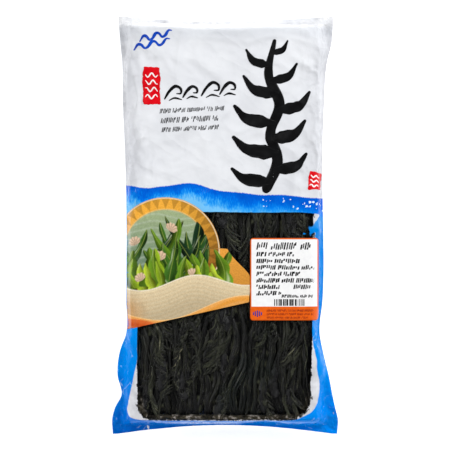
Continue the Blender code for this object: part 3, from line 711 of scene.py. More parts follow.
def frondBorder(index, y):
    # place of the border between fronds: even shares with a slow sine along the slab
    at = -slab["halfWidth"] + 2 * slab["halfWidth"] * index / slab["fronds"]
    inside = 0.0 if index in (0, slab["fronds"]) else 1.0
    return at + inside * slab["wander"] * np.sin(2 * math.pi * y / slab["wanderLength"] + 1.7 * index)


def signedPower(value, power):
    # |value|^power with the sign of value
    return np.sign(value) * np.abs(value) ** power


def loopTable():
    # a squared-up ellipse round the slab in the YZ plane, from the top end over the front: length run so far,
    # and y and z as shares of the slab's halves
    angle = np.linspace(0, 2 * math.pi, 4000)
    y = signedPower(np.cos(angle), 2 / slab["lengthPower"])
    z = signedPower(np.sin(angle), 2 / slab["loopPower"])
    steps = np.hypot(slabHalf[0] * np.diff(y), slabHalf[1] * np.diff(z))
    return np.concatenate([[0.0], np.cumsum(steps)]), y, z


def alongNoise(draw, t, count, low, high):
    # for each blade a sum of three sines of its own along t
    total = np.zeros((count, t.shape[-1]))
    for _ in range(3):
        rate = draw.uniform(low, high, (count, 1))
        total += np.sin(2 * math.pi * (rate * t + draw.uniform(0, 1, (count, 1))))
    return total / 1.8


def bladeSections(path, lateral, halfWidth, twist, thickness, camber):
    # each section is a thin lozenge: two edges across and a middle raised to both sides along the normal
    along = np.gradient(path, axis=1)
    along /= np.linalg.norm(along, axis=2)[..., None]
    side = lateral - along * (lateral * along).sum(axis=2)[..., None]
    side /= np.linalg.norm(side, axis=2)[..., None]
    normal = np.cross(along, side)
    turned = np.cos(twist)[..., None] * side + np.sin(twist)[..., None] * normal
    upward = np.cos(twist)[..., None] * normal - np.sin(twist)[..., None] * side
    edge = turned * halfWidth[..., None]
    bulge = upward * camber[..., None]
    skin = upward * (0.5 * thickness)
    return np.stack([path - edge, path + bulge + skin, path + edge, path + bulge - skin], axis=2)


def bladeFaces(count, stations):
    # quads round each lozenge tube, and one quad over each of its ends
    ring = gridFaces(stations, 4, wrap=True)
    ends = np.array([[3, 2, 1, 0], 4 * (stations - 1) + np.arange(4)])
    one = np.concatenate([ring, ends])
    return (one[None] + (4 * stations) * np.arange(count)[:, None, None]).reshape(-1, 4)


def pressIn(index, points, spare, over=0.0):
    # keeps the blades inside the frond's share of the slab, with its rounded corners and shoulders
    x, y, z = points[..., 0], points[..., 1], points[..., 2]
    aside = 0.5 * slab["gap"] + frondLook["borderSpare"]
    low = frondBorder(index, y) + aside - (over if index > 0 else 0.0)
    high = frondBorder(index + 1, y) - aside + (over if index < slab["fronds"] - 1 else 0.0)
    x = low + softStop(x - low)
    x = high - softStop(high - x)
    corner = slab["cornerRadius"]
    inwards = np.clip(np.abs(x) - (slab["halfWidth"] - corner), 0, corner)
    cut = corner - np.sqrt(corner**2 - inwards**2)
    y = slab["bottom"] + cut + spare + softStop(y - slab["bottom"] - cut - spare)
    y = slab["top"] - cut - spare - softStop(slab["top"] - cut - spare - y)
    toSide = eased((np.abs(x) - slab["halfWidth"] + slab["shoulderReach"]) / slab["shoulderReach"])
    press = slab["shoulderDrop"] * toSide + spare
    z = slab["floor"] + press + softStop(z - slab["floor"] - press)
    z = slab["ceiling"] - press - softStop(slab["ceiling"] - press - z)
    return np.stack([x, y, z], axis=-1)


def frondFlow(x, y):
    # the slow sideways sway that neighbouring blades share
    return frondLook["flow"] * (0.7 * waveNoise(x, y, 120.0, 91, 5) + 0.45 * waveNoise(x, y, 50.0, 92, 5))


def acrossFrond(index, share, y):
    # share -1 is the frond's left border and 1 its right one
    low, high = frondBorder(index, y), frondBorder(index + 1, y)
    return (low + high) / 2 + share * (high - low) / 2


def foldedBlades(index, count, draw, startRange):
    # long blades down the front, round the bottom end and up the back, at s along the loop round the slab.
    # They lie in strands: each strand sways as one, and is deepest where it meets the next. The 0.02 t keeps
    # a blade that would pass the end of the loop from shrinking to a point
    run, tableY, tableZ = loopTable()
    t = np.linspace(0, 1, frondLook["stations"])[None, :]
    length = draw.uniform(*frondLook["length"], (count, 1))
    middle = draw.uniform(*startRange, (count, 1)) * run[-1]
    first, last = frondLook["loopEnds"]
    s = np.clip(middle + length * (t - 0.5), first * run[-1], last * run[-1]) + 0.02 * t
    strand = draw.integers(0, frondLook["strands"], (count, 1))
    within = draw.uniform(-1, 1, (count, 1))
    depth = frondLook["firstDepth"] + draw.uniform(0.0, 1.0, (count, 1)) * frondLook["layerDepth"]
    depth = depth + frondLook["furrow"] * within**2
    depth = depth + frondLook["depthWobble"] * alongNoise(draw, t, count, 1.5, 4.0)
    y = slabMiddle[0] + (slabHalf[0] - depth) * np.interp(s, run, tableY)
    z = slabMiddle[1] + (slabHalf[1] - depth) * np.interp(s, run, tableZ)
    wavelength = draw.uniform(*frondLook["swayLength"], frondLook["strands"])[strand]
    phase = draw.uniform(0, 2 * math.pi, frondLook["strands"])[strand]
    share = (2 * strand + 1 + frondLook["strandFill"] * within) / frondLook["strands"] - 1
    x = acrossFrond(index, share, y)
    x = x + frondLook["sway"] * np.sin(2 * math.pi * y / wavelength + phase) + frondFlow(x, y)
    x = x + frondLook["wander"] * alongNoise(draw, t, count, 0.8, 2.2)
    x = x + frondLook["crinkle"] * alongNoise(draw, t, count, 6.0, 14.0)
    return np.stack([x, y, z], axis=-1), length, t


def fanPaths(index, draw):
    # fans of leaflets on the front: nested arcs that leave their rib down the slab and swing out sideways,
    # x = reach t^2, each arc a step further down than the one before
    fans, blades = frondLook["fans"], frondLook["fanBlades"]
    count = fans * blades
    t = np.linspace(0, 1, frondLook["lobeStations"])[None, :]

    def perFan(low, high):
        # one random value for each fan, repeated for its leaflets
        return np.repeat(draw.uniform(low, high, fans), blades)[:, None]

    order = np.tile(np.arange(blades), fans)[:, None] + draw.uniform(-0.3, 0.3, (count, 1))
    side = np.where(perFan(0, 1) < frondLook["rightShare"][index], 1.0, -1.0)
    down = np.where(perFan(0, 1) < frondLook["downShare"], -1.0, 1.0)
    scale = perFan(0.75, 1.1) * (1.0 - 0.04 * order) * draw.uniform(0.8, 1.15, (count, 1))
    length = perFan(*frondLook["fanLength"]) * scale
    reach = perFan(*frondLook["fanReach"]) * scale
    rootY = perFan(slab["bottom"] + 20, slab["top"] - 10) - down * frondLook["fanStep"] * (blades / 2 - order)
    y = rootY + down * length * (t - 0.28 * t**2.5)
    x = acrossFrond(index, perFan(-0.8, 0.8), y) - side * reach * 0.4 + frondFlow(0.0, y) + 0.5 * side * order
    x = x + side * reach * t**2 + 0.7 * alongNoise(draw, t, count, 0.8, 2.2)
    depth = perFan(0.2, 1.2) + draw.uniform(0.0, 0.9, (count, 1)) + 7.0 * np.clip(t - 0.7, 0, 1) ** 2
    depth = depth + 6.0 * np.clip(0.35 - t, 0, 1) ** 2 + 0.4 * alongNoise(draw, t, count, 1.0, 3.0)
    return np.stack([x, y, slab["ceiling"] - depth + 0 * x], axis=-1), length, t


def patchPaths(index, draw):
    # broad smooth leaflets that cling to the film, their ends a little deeper by (t - 1/2)^4
    count = frondLook["patches"]
    t = np.linspace(0, 1, frondLook["lobeStations"])[None, :]
    length = draw.uniform(*frondLook["patchLength"], (count, 1))
    y = draw.uniform(slab["bottom"] + 12, slab["top"] - 20, (count, 1)) + length * (0.5 - t)
    x = acrossFrond(index, draw.uniform(-0.7, 0.7, (count, 1)), y)
    x = x + 1.6 * alongNoise(draw, t, count, 0.5, 1.4)
    depth = 0.25 + draw.uniform(0.0, 1.6, (count, 1)) + 8.0 * (t - 0.5) ** 4
    depth = depth + 0.3 * alongNoise(draw, t, count, 1, 2)
    return np.stack([x, y, slab["ceiling"] - depth + 0 * x], axis=-1), length, t


def sideBladePaths(index, count, draw):
    # blades down the two sides of the frond, spread over its thickness
    t = np.linspace(0, 1, frondLook["stations"])[None, :]
    length = draw.uniform(*frondLook["sideLength"], (count, 1))
    middle = draw.uniform(slab["bottom"] + 40, slab["top"] - 40, (count, 1))
    y = middle - length * (t - 0.5)
    z = draw.uniform(*frondLook["sideHeight"], (count, 1)) + 2.0 * alongNoise(draw, t, count, 0.8, 2.5)
    sign = np.where(draw.uniform(size=(count, 1)) < 0.5, -1.0, 1.0)
    inset = draw.uniform(*frondLook["sideInset"], (count, 1)) + 0.8 * alongNoise(draw, t, count, 2.0, 5.0)
    border = np.where(sign < 0, frondBorder(index, y), frondBorder(index + 1, y))
    return np.stack([border - sign * inset, y, z], axis=-1), length, t


def endFoldPaths(index, count, draw):
    # brown folded ends that lie across the frond along the bottom of the slab, lower the further they are in
    t = np.linspace(0, 1, frondLook["endStations"])[None, :]
    length = draw.uniform(*frondLook["endLength"], (count, 1))
    away = draw.uniform(*frondLook["endAway"], (count, 1)) + 0.9 * alongNoise(draw, t, count, 0.5, 1.6)
    y = slab["bottom"] + away
    x = acrossFrond(index, draw.uniform(-0.8, 0.8, (count, 1)), y) + length * (t - 0.5)
    z = draw.uniform(*frondLook["endHeight"], (count, 1)) + frondLook["endRise"]
    z = z - frondLook["endSlope"] * away + 0.8 * alongNoise(draw, t, count, 0.5, 2)
    return np.stack([x, y, np.minimum(z, frondLook["endTop"])], axis=-1), length, t


def frondCore(index):
    # the dense middle: |x / a|^p + |y / b|^9 + |z / c|^p = 1, a little under the blades
    rows, columns = frondLook["coreRows"], frondLook["coreColumns"]
    up = np.linspace(0.001, math.pi - 0.001, rows)[:, None]
    around = np.linspace(0, 2 * math.pi, columns, endpoint=False)[None, :]
    power = slab["outerSectionPower"] if index in (0, slab["fronds"] - 1) else slab["sectionPower"]
    reach = np.abs(np.sin(up)) ** (2 / slab["lengthPower"])
    y = frondLook["coreHalfLength"] * signedPower(np.cos(up), 2 / slab["lengthPower"])
    y = slabMiddle[0] + y + 0 * around
    z = slabMiddle[1] + frondLook["coreHalfHeight"] * reach * signedPower(np.sin(around), 2 / power)
    x = acrossFrond(index, frondLook["coreShare"] * reach * signedPower(np.cos(around), 2 / power), y)
    points = pressIn(index, np.stack([x, y, z], axis=-1), frondLook["coreSpare"]).reshape(-1, 3)
    faces = gridFaces(rows, columns, wrap=True)
    ends = np.array([np.arange(columns)[::-1], (rows - 1) * columns + np.arange(columns)])
    return points, faces, ends


def signedVolume(points, faces):
    # sum over the faces' triangles of a . (b x c) / 6
    a, b, c, d = (points[faces[:, k]] for k in range(4))
    return (np.einsum("ij,ij->i", a, np.cross(b, c)) + np.einsum("ij,ij->i", a, np.cross(c, d))).sum() / 6


def makeFrond(index):
    # a core and six groups of blades in one mesh: each blade has its own width, twist, camber and tint
    draw = np.random.default_rng(frondLook["seed"] + index)
    look = frondLook
    stems, fanStems = look["stemShare"], look["fanStemShare"]
    front = foldedBlades(index, look["frontBlades"], draw, (0.02, 0.52))
    back = foldedBlades(index, look["backBlades"], draw, (0.50, 0.97))
    # paths, blade widths, largest twist, axis across the blade, lowest and highest tint, share of bare stems
    groups = [
        (front, look["width"], 0.75, 0, (0.05, 0.85), stems),
        (back, look["width"], 0.9, 0, (0.0, 0.8), stems),
        (sideBladePaths(index, look["sideBlades"], draw), look["width"], 0.9, 2, (0.0, 0.8), stems),
        (fanPaths(index, draw), look["fanWidth"], 0.8, 0, (0.3, 1.0), fanStems),
        (patchPaths(index, draw), look["patchWidth"], 0.12, 0, (-0.4, -0.1), stems),
        (endFoldPaths(index, look["endFolds"], draw), look["fanWidth"], 0.5, 1, (0.5, 1.0), fanStems),
    ]
    allPoints, allFaces, tints, alongs, acrosses, count = [], [], [], [], [], 0
    for (path, length, t), widths, swing, axis, shades, bare in groups:
        blades, stations = path.shape[:2]
        stem = draw.uniform(size=(blades, 1)) < bare
        width = np.where(stem, look["stemWidth"], draw.uniform(*widths, (blades, 1)))
        stemTint = draw.uniform(*look["stemTint"], (blades, 1))
        tint = np.where(stem, stemTint, draw.uniform(*shades, (blades, 1)))
        ruffle = 1 + 0.2 * alongNoise(draw, t, blades, 2.0, 6.0)
        tips = look["tipWidth"] + (1 - look["tipWidth"]) * eased(np.minimum(t, 1 - t) / look["tipReach"])
        halfWidth = 0.5 * width * ruffle * tips
        twist = draw.uniform(0.2, 1.0, (blades, 1)) * swing * alongNoise(draw, t, blades, 0.8, 2.4)
        camber = -look["camber"] * halfWidth * (0.7 + 0.5 * alongNoise(draw, t, blades, 0.8, 2.5))
        lateral = np.zeros_like(path)
        lateral[..., axis] = 1.0
        sections = bladeSections(path, lateral, halfWidth, twist, look["thickness"], camber)
        spare = 0.1 + draw.uniform(0, 0.5, (blades, 1, 1))
        points = pressIn(index, sections, spare, look["overBorder"]).reshape(-1, 3)
        faces = bladeFaces(blades, stations)
        if signedVolume(points, faces) < 0:
            faces = faces[:, ::-1]
        allPoints.append(points)
        allFaces.append(faces + count)
        count += len(points)
        tints.append(np.repeat(tint.ravel(), stations * 4))
        alongs.append(np.repeat((t * length).ravel(), 4))
        acrosses.append(np.tile([-1.0, 0.0, 1.0, 0.0], blades * stations))
    corePoints, coreFaces, coreEnds = frondCore(index)
    if signedVolume(corePoints, coreFaces) < 0:
        coreFaces, coreEnds = coreFaces[:, ::-1], coreEnds[:, ::-1]
    allPoints.append(corePoints)
    tints.append(np.zeros(len(corePoints)))
    alongs.append(corePoints[:, 1])
    acrosses.append(corePoints[:, 0] / 3.0)
    points = np.concatenate(allPoints)
    values = {
        "tint": np.concatenate(tints), "bladeRun": np.concatenate(alongs),
        "bladeAcross": np.concatenate(acrosses), "sunk": slab["ceiling"] - points[:, 2],
        "rimDepth": slabDepth(points[:, 0], points[:, 1]),
    }
    faceSets = [np.concatenate(allFaces + [coreFaces + count]), coreEnds + count]
    return putMesh(f"wakame_frond_{index + 1}", points, faceSets, values, smooth=False)


def wakameMaterial():
    # sun-dried Undaria blades: near black with an olive cast, leathery, wrinkled along their length
    made, tree, shader = newMaterial("dried wakame", 0.42, IOR=1.45, **{"Specular IOR Level": 0.38})
    place = addNode(tree, "TexCoord", out="Object")
    tint = addNode(tree, "Attribute", out="Fac", attribute_name="tint")
    run = addNode(tree, "Attribute", out="Fac", attribute_name="bladeRun")
    across = addNode(tree, "Attribute", out="Fac", attribute_name="bladeAcross")
    up = addNode(tree, "SeparateXYZ", {0: place}, out="Y")
    cloud = addNode(tree, "TexNoise", {"Vector": place, "Scale": 60.0, "Detail": 4.0})
    pick = addNode(tree, "Math", {0: cloud, 1: 0.7, 2: tint}, operation="MULTIPLY_ADD")
    pick = addNode(tree, "MapRange", {"Value": pick, "From Min": 0.1, "From Max": 1.7})
    base = addNode(tree, "ValToRGB", {0: pick}, stops=[
        (0.0, "#08080c"), (0.25, "#0b0c0a"), (0.5, "#161711"), (0.75, "#363929"), (0.88, "#585b48"),
        (0.97, "#8d8a70")])
    # blades that lie deeper are painted darker: painted shade in the gaps between them
    sunk = addNode(tree, "Attribute", out="Fac", attribute_name="sunk")
    sunk = addNode(tree, "MapRange", {"Value": sunk, "From Min": 1.0, "From Max": 5.2, "To Max": 0.94})
    base = addNode(tree, "Mix", {0: sunk, 6: base, 7: "#050506"}, out=2, data_type="RGBA")
    # here and there a leaflet has kept a bottle-green cast
    green = addNode(tree, "TexNoise", {"Vector": place, "Scale": 19.0, "Detail": 1.0})
    green = addNode(tree, "MapRange", {"Value": green, "From Min": 0.62, "From Max": 0.72, "To Max": 0.35})
    base = addNode(tree, "Mix", {0: green, 6: base, 7: "#10201a"}, out=2, data_type="RGBA")
    # the thin edges are painted paler: a painted highlight along them, here and there
    edge = addNode(tree, "Math", {0: across}, operation="ABSOLUTE")
    edge = addNode(tree, "MapRange", {"Value": edge, "From Min": 0.72, "From Max": 1.0})
    patchy = addNode(tree, "TexNoise", {"Vector": place, "Scale": 110.0, "Detail": 2.0})
    patchy = addNode(tree, "MapRange", {"Value": patchy, "From Min": 0.48, "From Max": 0.62, "To Max": 0.9})
    edge = addNode(tree, "Math", {0: edge, 1: patchy}, operation="MULTIPLY")
    base = addNode(tree, "Mix", {0: edge, 6: base, 7: "#6e715b"}, out=2, data_type="RGBA")
    # the folded ends at the bottom of the slab are browner and dusted with dry salt
    atFold = addNode(tree, "MapRange", {"Value": up, "From Min": -0.1915, "From Max": -0.1945,
                                        "To Max": 0.85})
    # and so are the blades that follow its rounded lower corners
    rim = addNode(tree, "Attribute", out="Fac", attribute_name="rimDepth")
    rim = addNode(tree, "MapRange", {"Value": rim, "From Min": 6.0, "From Max": 2.5, "To Max": 0.72})
    nearFoot = addNode(tree, "MapRange", {"Value": up, "From Min": -0.168, "From Max": -0.184})
    rim = addNode(tree, "Math", {0: rim, 1: nearFoot}, operation="MULTIPLY")
    atFold = addNode(tree, "Math", {0: atFold, 1: rim}, operation="MAXIMUM")
    salt = addNode(tree, "TexNoise", {"Vector": place, "Scale": 210.0, "Detail": 4.0})
    ends = addNode(tree, "ValToRGB", {0: salt}, stops=[
        (0.35, "#2a2519"), (0.5, "#4d4634"), (0.57, "#6e6350"), (0.63, "#d8cfc4")])
    base = addNode(tree, "Mix", {0: atFold, 6: base, 7: ends}, out=2, data_type="RGBA")
    tree.links.new(base, shader.inputs["Base Color"])
    # wrinkles run along the blade: a cell of their noise is 4 mm of its length and a tenth of its width
    alongBlade = addNode(tree, "Math", {0: run, 1: 0.12}, operation="MULTIPLY")
    acrossBlade = addNode(tree, "Math", {0: across, 1: 2.2}, operation="MULTIPLY")
    flat = addNode(tree, "CombineXYZ", {0: alongBlade, 1: acrossBlade, 2: tint})
    wrinkle = addNode(tree, "TexNoise", {"Vector": flat, "Scale": 2.2, "Detail": 3.0})
    bump = addNode(tree, "Bump", {"Height": wrinkle, "Strength": 0.8, "Distance": 0.0014})
    tree.links.new(bump, shader.inputs["Normal"])
    rough = addNode(tree, "MapRange", {"Value": wrinkle, "To Min": 0.30, "To Max": 0.55})
    tree.links.new(rough, shader.inputs["Roughness"])
    return made


# Brush work printed on the film, in millimetres on the front
ink = {
    "lift": 0.22, "wall": 0.04, "barWall": 0.03, "sprigWall": 0.05, "tremble": 0.06,
    # wave crests: place of the first, step to the next, sizes, the curl and the short stroke under it
    "crestStart": (-61, 127.5), "crestStep": (18.6, 1.6), "crestSizes": (1.0, 0.86, 1.06, 0.92),
    "curl": [(0, 0), (4.6, 7.5), (10.6, 12.6), (16.0, 10.4), (16.4, 5.6), (12.2, 5.2)],
    "curlWidths": [1.4, 2.8, 3.4, 3.0, 2.2, 1.0],
    "under": [(4.6, -1.6), (10.0, 0.8), (17.2, -0.8)], "underWidths": [0.8, 2.2, 0.8],
    # rows of small ticks: (x of the left end, x of the right end, y of the foot, height)
    "rows": [(-66, 1.0, 112.6, 4.8), (-65, -6.0, 102.6, 5.6), (-64, -5.0, 93.8, 4.8)],
    "rowTilt": 0.05, "rowWeight": 0.13,
    # blue brushed waves: (x and y of the left end, length), their rise, height, turns and widths
    "blueWaves": [(-92.0, 179.0, 36.0), (-86.0, 187.5, 32.0)], "blueRise": 7.5, "blueHeight": 3.0,
    "blueTurns": 2.5, "blueWidths": [1.5, 3.0, 2.2, 3.2, 2.2, 3.0, 1.0],
}
# ticks in place of print, as shares of a row's height
tick = {
    "perGroup": (5, 14), "weights": (0.8, 1.3), "heights": [0.45, 0.7, 0.9, 1.0], "feet": [0.0, 0.5, 1.0],
    "gaps": (0.09, 0.18), "groupGap": 0.4, "lean": 0.2,
}
sprig = {
    "tremble": 0.05, "layer": 0.02,
    "rib": ([(42, 37), (53, 64), (46, 93), (55, 122), (44, 152), (50, 186)], [10, 12, 9.5, 11.5, 8.5, 3.5]),
    # (share along the rib, side, length, width, rise of the tip)
    "leaflets": [
        (0.05, -1, 38, 13.0, 11), (0.14, 1, 31, 12.0, 14), (0.26, -1, 43, 14.5, 14), (0.36, 1, 34, 12.5, 16),
        (0.47, -1, 39, 13.0, 15), (0.57, 1, 31, 11.5, 16), (0.67, -1, 33, 11.5, 16), (0.76, 1, 27, 9.5, 15),
        (0.86, -1, 23, 8.5, 13), (0.93, 1, 16, 6.5, 10),
    ],
}


def strokePatch(points, widths, lift, perSpan=9, columns=7, tremble=0.0, seed=1):
    # a brush stroke: the curve's sides at +-width / 2, closed by round ends, sqrt(1 - u^2) over half a width,
    # and shaken by a random share of its width at every third place
    roundSteps, shakeStep = 5, 3
    path = curveThrough(points, perSpan)
    run = np.concatenate([[0.0], np.cumsum(np.hypot(*np.diff(path, axis=0).T))])
    knots = np.linspace(0, run[-1], len(widths))
    width = np.interp(run, knots, widths)
    along = np.gradient(path, axis=0)
    along /= np.hypot(along[:, 0], along[:, 1])[:, None]
    headShape = np.sin(np.linspace(0, math.pi / 2, roundSteps + 1))[:-1]
    head = path[:1] - along[:1] * (width[0] / 2) * (np.sqrt(1 - headShape**2))[:, None]
    tail = path[-1:] + along[-1:] * (width[-1] / 2) * (np.sqrt(1 - headShape[::-1] ** 2))[:, None]
    half = np.concatenate([headShape * width[0], width, headShape[::-1] * width[-1]]) / 2
    path = np.concatenate([head, path, tail])
    headAlong, tailAlong = (np.repeat(end, roundSteps, axis=0) for end in (along[:1], along[-1:]))
    along = np.concatenate([headAlong, along, tailAlong])
    shakenAt = np.arange(0, len(path) + shakeStep, shakeStep)
    shaken = np.random.default_rng(seed).normal(size=len(shakenAt))
    shake = 1 + tremble * np.interp(np.arange(len(path)), shakenAt, shaken)
    u = np.linspace(-1, 1, columns)[None, :]
    x = path[:, :1] - along[:, 1:] * (half * shake)[:, None] * u
    y = path[:, 1:] + along[:, :1] * (half * shake)[:, None] * u
    return drape(x, y, lift)


def barPiece(name, bars, lift, detail=1.0):
    # flat bars laid on the front; a row of the list is (x0, y0, x1, y1, tilt of the foot, lean of the sides)
    x0, y0, x1, y1, tilt, lean = np.array(bars).T[:, :, None, None]
    u = np.array([[0.0, 1.0], [0.0, 1.0]])
    v = u.T
    x = x0 + (x1 - x0) * u + lean * (y1 - y0) * v
    y = y0 + (y1 - y0) * v + tilt * (x1 - x0) * u
    points = drape(x, y, lift, detail).reshape(-1, 3)
    corners = np.array([0, 1, 3, 2])
    faces = corners[None, :] + 4 * np.arange(len(bars))[:, None]
    return addWall(putMesh(name, points, [facing(points, faces)], smooth=False), ink["barWall"], 1.0)


def inkPiece(name, patches, wall):
    # strokes and blocks of one ink as one piece
    points, faces = joined(patches)
    return addWall(putMesh(name, points, [faces]), wall, 1.0)


def tickRow(draw, x0, x1, y0, tall, tilt=0.0, weight=0.2):
    # groups of slanted brush ticks of uneven height, where the pack has a line of print
    bars, x = [], x0
    while x < x1 - 0.6 * tall:
        for _ in range(draw.integers(*tick["perGroup"])):
            thick = weight * tall * draw.uniform(*tick["weights"])
            high = tall * draw.choice(tick["heights"])
            if x + thick > x1:
                break
            foot = y0 + tilt * (x - x0) + draw.choice(tick["feet"]) * (tall - high)
            bars.append((x, foot, x + thick, foot + high, tilt, tick["lean"]))
            x += thick + draw.uniform(*tick["gaps"]) * tall
        x += tick["groupGap"] * tall
    return bars


def makeSprig():
    # a brush-ink sprig of seaweed: one curved rib with finger-shaped leaflets to both sides
    ribPoints, ribWidths = sprig["rib"]
    rib = curveThrough(ribPoints, 20)
    patches = [strokePatch(ribPoints, ribWidths, ink["lift"], 12, 7, sprig["tremble"], 3)]
    for number, (share, side, length, width, rise) in enumerate(sprig["leaflets"]):
        root = rib[int(share * (len(rib) - 1))]
        reach = side * length
        curve = [root, root + (0.35 * reach, 0.10 * rise), root + (0.72 * reach, 0.35 * rise),
                 root + (reach, rise + 2)]
        widths = [0.45 * width, width, 0.95 * width, 0.55 * width, 0.25 * width]
        lift = ink["lift"] + sprig["layer"] * (number % 3 + 1)
        patches.append(strokePatch(curve, widths, lift, 9, 7, sprig["tremble"], 10 + number))
    return inkPiece("ink_sprig", patches, ink["sprigWall"])


def makeInkWaves():
    # a row of brush-drawn wave crests, each a curl over a short stroke
    patches = []
    for number, size in enumerate(ink["crestSizes"]):
        start = np.array(ink["crestStart"]) + np.array(ink["crestStep"]) * number
        curl = start + size * np.array(ink["curl"])
        under = start + size * np.array(ink["under"])
        patches.append(strokePatch(curl, ink["curlWidths"], ink["lift"], 8, 5, ink["tremble"], 40 + number))
        patches.append(strokePatch(under, ink["underWidths"], ink["lift"], 7, 5, ink["tremble"], 60 + number))
    return inkPiece("ink_waves", patches, ink["wall"])


def makeInkText():
    # three slanted rows of small ticks under the waves
    draw = np.random.default_rng(31)
    bars = []
    for row in ink["rows"]:
        bars += tickRow(draw, *row, ink["rowTilt"], ink["rowWeight"])
    return barPiece("ink_text", bars, ink["lift"])


def makeBlueMark():
    # two blue brush waves, one over the other, rising to the right in the upper left corner
    patches = []
    for number, (x0, y0, length) in enumerate(ink["blueWaves"]):
        t = np.linspace(0, 1, 11)
        bob = ink["blueHeight"] * np.sin(2 * math.pi * ink["blueTurns"] * t - 0.6)
        wave = np.stack([x0 + length * t, y0 + ink["blueRise"] * t + bob], axis=-1)
        patches.append(strokePatch(wave, ink["blueWidths"], ink["lift"], 5, 5, ink["tremble"], 5 + number))
    return inkPiece("blue_wave_mark", patches, ink["wall"])


# The two red seals; the figure in each is a few rows of waves
seals = {
    "large": {"centre": (-74.3, 140.6), "size": (17.6, 37.5), "turn": 0.0, "waves": 4},
    "small": {"centre": (90.6, 44.4), "size": (12.6, 18.0), "turn": -0.12, "waves": 3},
}
# How both are stamped: (height, length) of the waves of their sides, how far the corners are worn, and the
# figure's share of the block's height and half width, height of its waves, stroke widths and lift over it
stamp = {
    "across": [(0.40, 14.0), (0.16, 4.5)], "up": [(0.45, 12.0), (0.16, 4.0)], "worn": 0.05,
    "tallShare": 0.775, "halfShare": 0.34, "waveShare": 0.055, "places": 9,
    "widths": [0.9, 1.5, 1.4, 0.8], "tremble": 0.04, "over": 0.10,
}


def turned(x, y, entry):
    # places round a seal's own centre, turned and moved to where it is stamped
    (cx, cy), turn = entry["centre"], entry["turn"]
    return cx + x * math.cos(turn) - y * math.sin(turn), cy + x * math.sin(turn) + y * math.cos(turn)


def sealPatch(entry, seed):
    # a stamped block: a rectangle whose sides are pushed in and out by noise, its corners worn off
    wide, tall = entry["size"]
    u, v = np.meshgrid(np.linspace(-1, 1, 30), np.linspace(-1, 1, 50))
    x, y = u * wide / 2, v * tall / 2
    edge = np.maximum(np.abs(u), np.abs(v)) ** 6
    (slow, slowLength), (quick, quickLength) = stamp["across"]
    x = x + edge * (slow * waveNoise(x, y, slowLength, seed) + quick * waveNoise(x, y, quickLength, seed + 2))
    (slow, slowLength), (quick, quickLength) = stamp["up"]
    shake = slow * waveNoise(x, y, slowLength, seed + 1) + quick * waveNoise(x, y, quickLength, seed + 3)
    y = y + edge * shake
    worn = 1 - stamp["worn"] * (np.abs(u) * np.abs(v)) ** 4
    x, y = x * worn, y * worn
    return drape(*turned(x, y, entry), ink["lift"])


def makeSeals():
    # both stamped blocks as one piece
    patches = [sealPatch(entry, 70 + 5 * number) for number, entry in enumerate(seals.values())]
    return inkPiece("red_seals", patches, ink["wall"])


def makeSealFigures():
    # rows of plain waves left white in each seal, evenly spread over three quarters of its height
    patches = []
    for number, entry in enumerate(seals.values()):
        wide, tall = entry["size"]
        for row in range(entry["waves"]):
            level = (row - (entry["waves"] - 1) / 2) * stamp["tallShare"] * tall / entry["waves"]
            across = np.linspace(-stamp["halfShare"], stamp["halfShare"], stamp["places"]) * wide
            bob = stamp["waveShare"] * tall * np.sin(np.linspace(0, 3 * math.pi, stamp["places"]) + row)
            wave = np.stack(turned(across, level + bob, entry), axis=-1)
            lift, seed = ink["lift"] + stamp["over"], 90 + 10 * number + row
            patches.append(strokePatch(wave, stamp["widths"], lift, 5, 5, stamp["tremble"], seed))
    return inkPiece("seal_figures", patches, ink["wall"])


# The picture in the lower left corner: a rayed sun over a seaweed garden, with shells, dunes and waves
picture = {
    "step": 0.62, "top": 28.0, "bottom": -106.0, "lift": 0.26,
    "sun": (-60.0, -27.0), "sunRadius": 55.0, "waterRadius": 43.0, "rays": 34,
    "leaves": 46, "leafGreens": ["#16301c", "#1f4019", "#33591a", "#56791b", "#7d991f", "#a0b42e"],
    # leaves: x of the roots; y of the roots and height, each of the rearmost leaf and its change to the
    # foremost; shares of that height; half width; bend; lean; and widths of the soft edge and of the gleam
    "leafRootX": (-108, 4), "leafRootY": (-46, -24), "leafHeight": (68, -30), "leafShares": (0.65, 1.1),
    "leafHalf": (6.0, 11.0), "leafBend": (3, 10), "leafLean": (-0.4, 0.4), "softEdge": 0.6,
    "gleamWidth": 0.16,
    # (x, y, radius, direction of the fan in radians)
    "shells": [(-90, -20, 8.5, 2.0), (-56, -6, 8.5, 1.0), (-66, -36, 10.0, 1.8), (-33, -52, 8.5, 1.2),
               (-84, -56, 8.0, 2.1)],
    "shellAfter": [14, 20, 30, 36, 41],        # the leaf that each shell is painted after
    # swells: (level, height, x of the crest, length, tilt, x of the tilt's zero)
    "dune": (-57, 6.5, -30, 17.0, 0.05, -40),
    "waves": [
        ("#f3a341", "#ffd698", (-84, 8.5, 16, 24.0, 0.10, -30)),
        ("#ea7f2c", "#8d3f12", (-95, 6.0, 34, 20.0, 0.20, -30)),
        ("#d95a20", "#f2a35c", (-101, 5.0, -92, 19.0, -0.05, -60)),
    ],
    # right edge: it leaves the sun's circle at the waist, swells out, and below the base top runs back in
    "waist": -24.0, "swellRight": (-4.0, 26.0), "swellTop": -8.0, "swellReach": 52.0,
    "baseTop": -78.0, "baseRight": 24.0, "baseSlope": 4.45,
}


